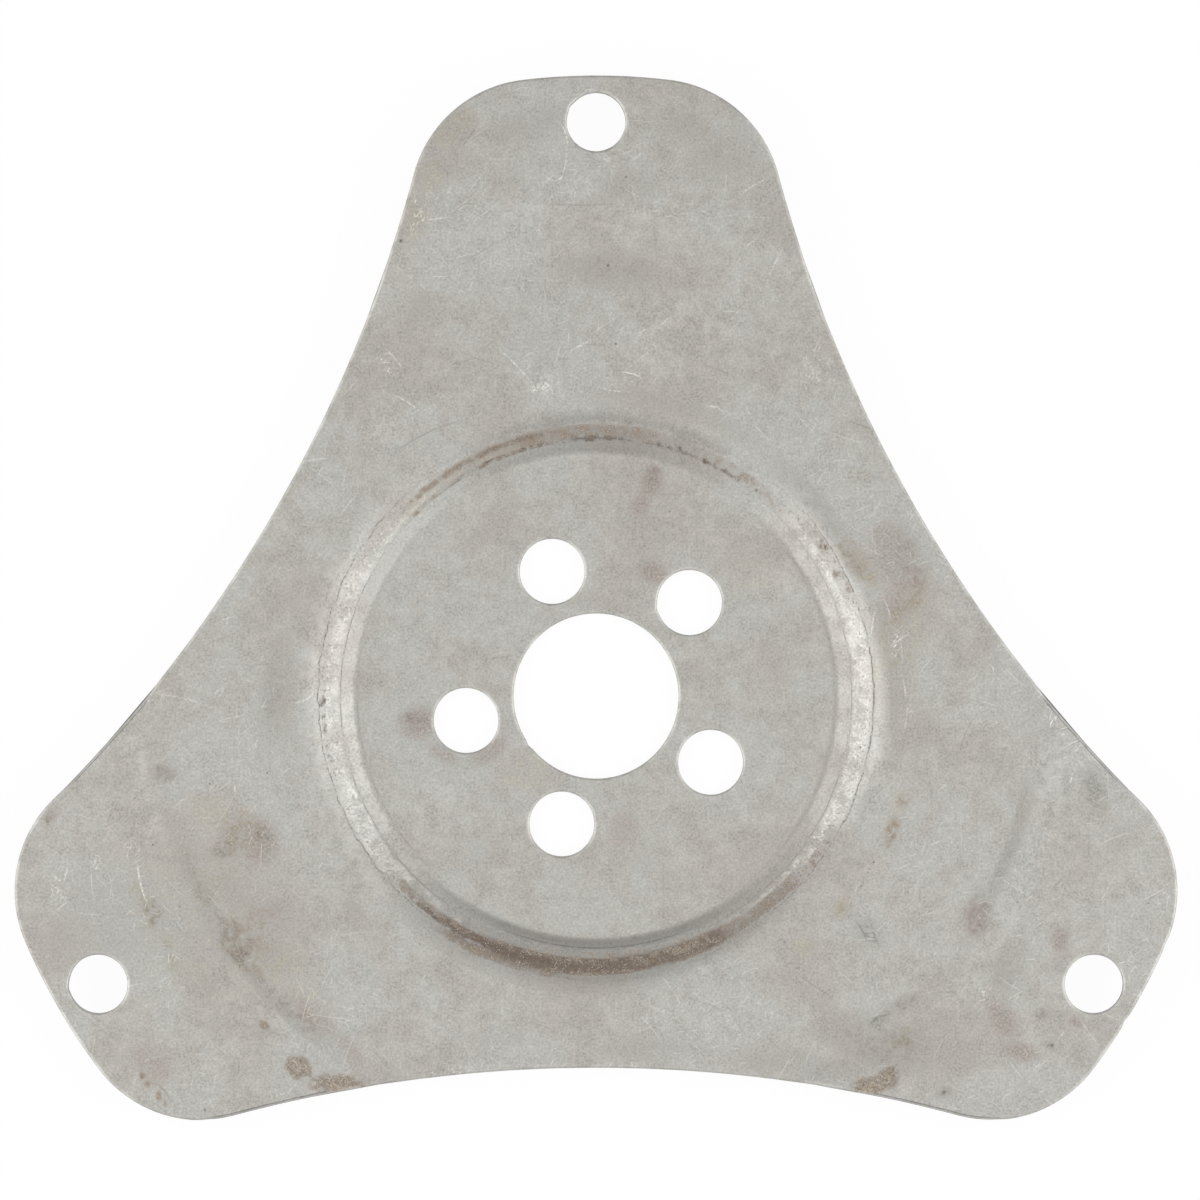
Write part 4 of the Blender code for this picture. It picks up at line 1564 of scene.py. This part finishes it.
# Lamps and floor in metres, the sensor in millimetres
SIDE_LAMP_SIZE = (1.8, 0.85)
SIDE_LAMP_DISTANCE = 1.2
SIDE_LAMP_ELEVATION = math.radians(40.0)
SIDE_LAMP_SHIFT = -0.15
TOP_LAMP_SIZE = (1.7, 1.7)
TOP_LAMP_HEIGHT = 1.9
FLOOR_SIDE = 12.0
FLOOR_ROUGHNESS = 0.9
FLOOR_GLOW = 0.95
SENSOR_WIDTH = 36.0
CLIP_START = 0.01


def soft_lamp(name, place, size, power):
    """Add a rectangular soft lamp that shines at the plate."""
    light = bpy.data.lights.new(name, "AREA")
    light.shape = "RECTANGLE"
    light.size, light.size_y = size
    light.energy = power
    lamp = bpy.data.objects.new(name, light)
    lamp.location = place
    lamp.rotation_euler = (-Vector(place)).to_track_quat("-Z", "Y").to_euler()
    bpy.context.scene.collection.objects.link(lamp)


def floor_material(colour):
    """Return a pale floor that the camera and gloss see near white, and that takes the shadow."""
    material, graph, shader = new_material("pale_floor")
    shader.inputs["Base Color"].default_value = rgba(colour)
    shader.inputs["Roughness"].default_value = FLOOR_ROUGHNESS
    path = graph.node("ShaderNodeLightPath").outputs
    seen = graph.math("MAXIMUM", path["Is Camera Ray"], path["Is Glossy Ray"])
    seen = graph.math("MAXIMUM", seen, path["Is Transmission Ray"])
    glow = graph.node("ShaderNodeEmission", [("Color", (1, 1, 1, 1)), ("Strength", 1.0)])
    shaders = [(0, graph.times(seen, FLOOR_GLOW)), (1, shader.outputs[0]), (2, glow.outputs[0])]
    mixed = graph.node("ShaderNodeMixShader", shaders)
    output = material.node_tree.nodes["Material Output"]
    graph.feed(output.inputs["Surface"], mixed.outputs[0])
    return material


def add_floor(colour):
    """Add the floor that the plate's pad lies on."""
    shape = bmesh.new()
    bmesh.ops.create_grid(shape, x_segments=1, y_segments=1, size=FLOOR_SIDE / 2)
    bmesh.ops.translate(shape, verts=shape.verts, vec=(0, 0, CAD_LOW[2]))
    mesh = bpy.data.meshes.new("floor")
    shape.to_mesh(mesh)
    shape.free()
    mesh.materials.append(floor_material(colour))
    floor = bpy.data.objects.new("floor", mesh)
    bpy.context.scene.collection.objects.link(floor)


def add_camera(studio):
    """Add the camera, straight above the plate and looking down on it."""
    lens = bpy.data.cameras.new("camera")
    lens.sensor_fit = "HORIZONTAL"
    lens.sensor_width = SENSOR_WIDTH
    lens.lens = SENSOR_WIDTH * studio.camera_height / studio.view_width
    lens.clip_start = CLIP_START
    camera = bpy.data.objects.new("camera", lens)
    camera.location = (studio.centre_x, studio.centre_y, studio.camera_height)
    bpy.context.scene.collection.objects.link(camera)
    bpy.context.scene.camera = camera


def add_world(strength):
    """Light the plate evenly from all round."""
    world = bpy.data.worlds.new("studio")
    world.use_nodes = True
    background = world.node_tree.nodes["Background"]
    background.inputs["Color"].default_value = (1, 1, 1, 1)
    background.inputs["Strength"].default_value = strength
    bpy.context.scene.world = world


class FLEXPLATE_OT_make_plate(bpy.types.Operator):
    """Model the pressed sheet and lay it over the solid"""

    bl_idname = "flexplate.make_plate"
    bl_label = "Make plate"

    def execute(self, context):
        sizes = context.scene.flexplate_sizes
        colours = context.scene.flexplate_colours
        mesh = plate_mesh(sizes)
        mesh.materials.append(sheet_steel(colours))
        mesh.materials.append(sheared_steel(colours))
        plate = bpy.data.objects.new("plate", mesh)
        context.scene.collection.objects.link(plate)
        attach(plate, "root")
        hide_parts("flexplate")
        return {"FINISHED"}


class FLEXPLATE_OT_make_stage(bpy.types.Operator):
    """Add the floor, the lamps and the camera"""

    bl_idname = "flexplate.make_stage"
    bl_label = "Make stage"

    def execute(self, context):
        studio = context.scene.flexplate_studio
        across = SIDE_LAMP_DISTANCE * math.cos(SIDE_LAMP_ELEVATION)
        height = SIDE_LAMP_DISTANCE * math.sin(SIDE_LAMP_ELEVATION)
        for name, side in (("left_lamp", -1), ("right_lamp", 1)):
            place = (side * across, SIDE_LAMP_SHIFT, height)
            soft_lamp(name, place, SIDE_LAMP_SIZE, studio.side_power)
        soft_lamp("top_lamp", (0.0, 0.0, TOP_LAMP_HEIGHT), TOP_LAMP_SIZE, studio.top_power)
        add_world(studio.fill)
        add_floor(studio.floor)
        add_camera(studio)
        context.scene.view_settings.view_transform = "Standard"
        return {"FINISHED"}


class FLEXPLATE_PT_panel(bpy.types.Panel):
    """The flexplate's settings and steps"""

    bl_label = "Flexplate"
    bl_space_type = "VIEW_3D"
    bl_region_type = "UI"
    bl_category = "Flexplate"

    def draw(self, context):
        scene = context.scene
        for group in (scene.flexplate_sizes, scene.flexplate_colours, scene.flexplate_studio):
            box = self.layout.box()
            for name in group.bl_rna.properties.keys():
                if name not in {"rna_type", "name"}:
                    box.prop(group, name)
        for operator in (FLEXPLATE_OT_make_plate, FLEXPLATE_OT_make_stage):
            self.layout.operator(operator.bl_idname)


CLASSES = (
    PlateSizes,
    SteelColours,
    StudioSettings,
    FLEXPLATE_OT_make_plate,
    FLEXPLATE_OT_make_stage,
    FLEXPLATE_PT_panel,
)


def register():
    for cls in CLASSES:
        bpy.utils.register_class(cls)
    bpy.types.Scene.flexplate_sizes = PointerProperty(type=PlateSizes)
    bpy.types.Scene.flexplate_colours = PointerProperty(type=SteelColours)
    bpy.types.Scene.flexplate_studio = PointerProperty(type=StudioSettings)


def unregister():
    del bpy.types.Scene.flexplate_studio
    del bpy.types.Scene.flexplate_colours
    del bpy.types.Scene.flexplate_sizes
    for cls in reversed(CLASSES):
        bpy.utils.unregister_class(cls)


def main():
    register()
    bpy.ops.flexplate.make_plate()
    bpy.ops.flexplate.make_stage()


if __name__ == "__main__":
    main()
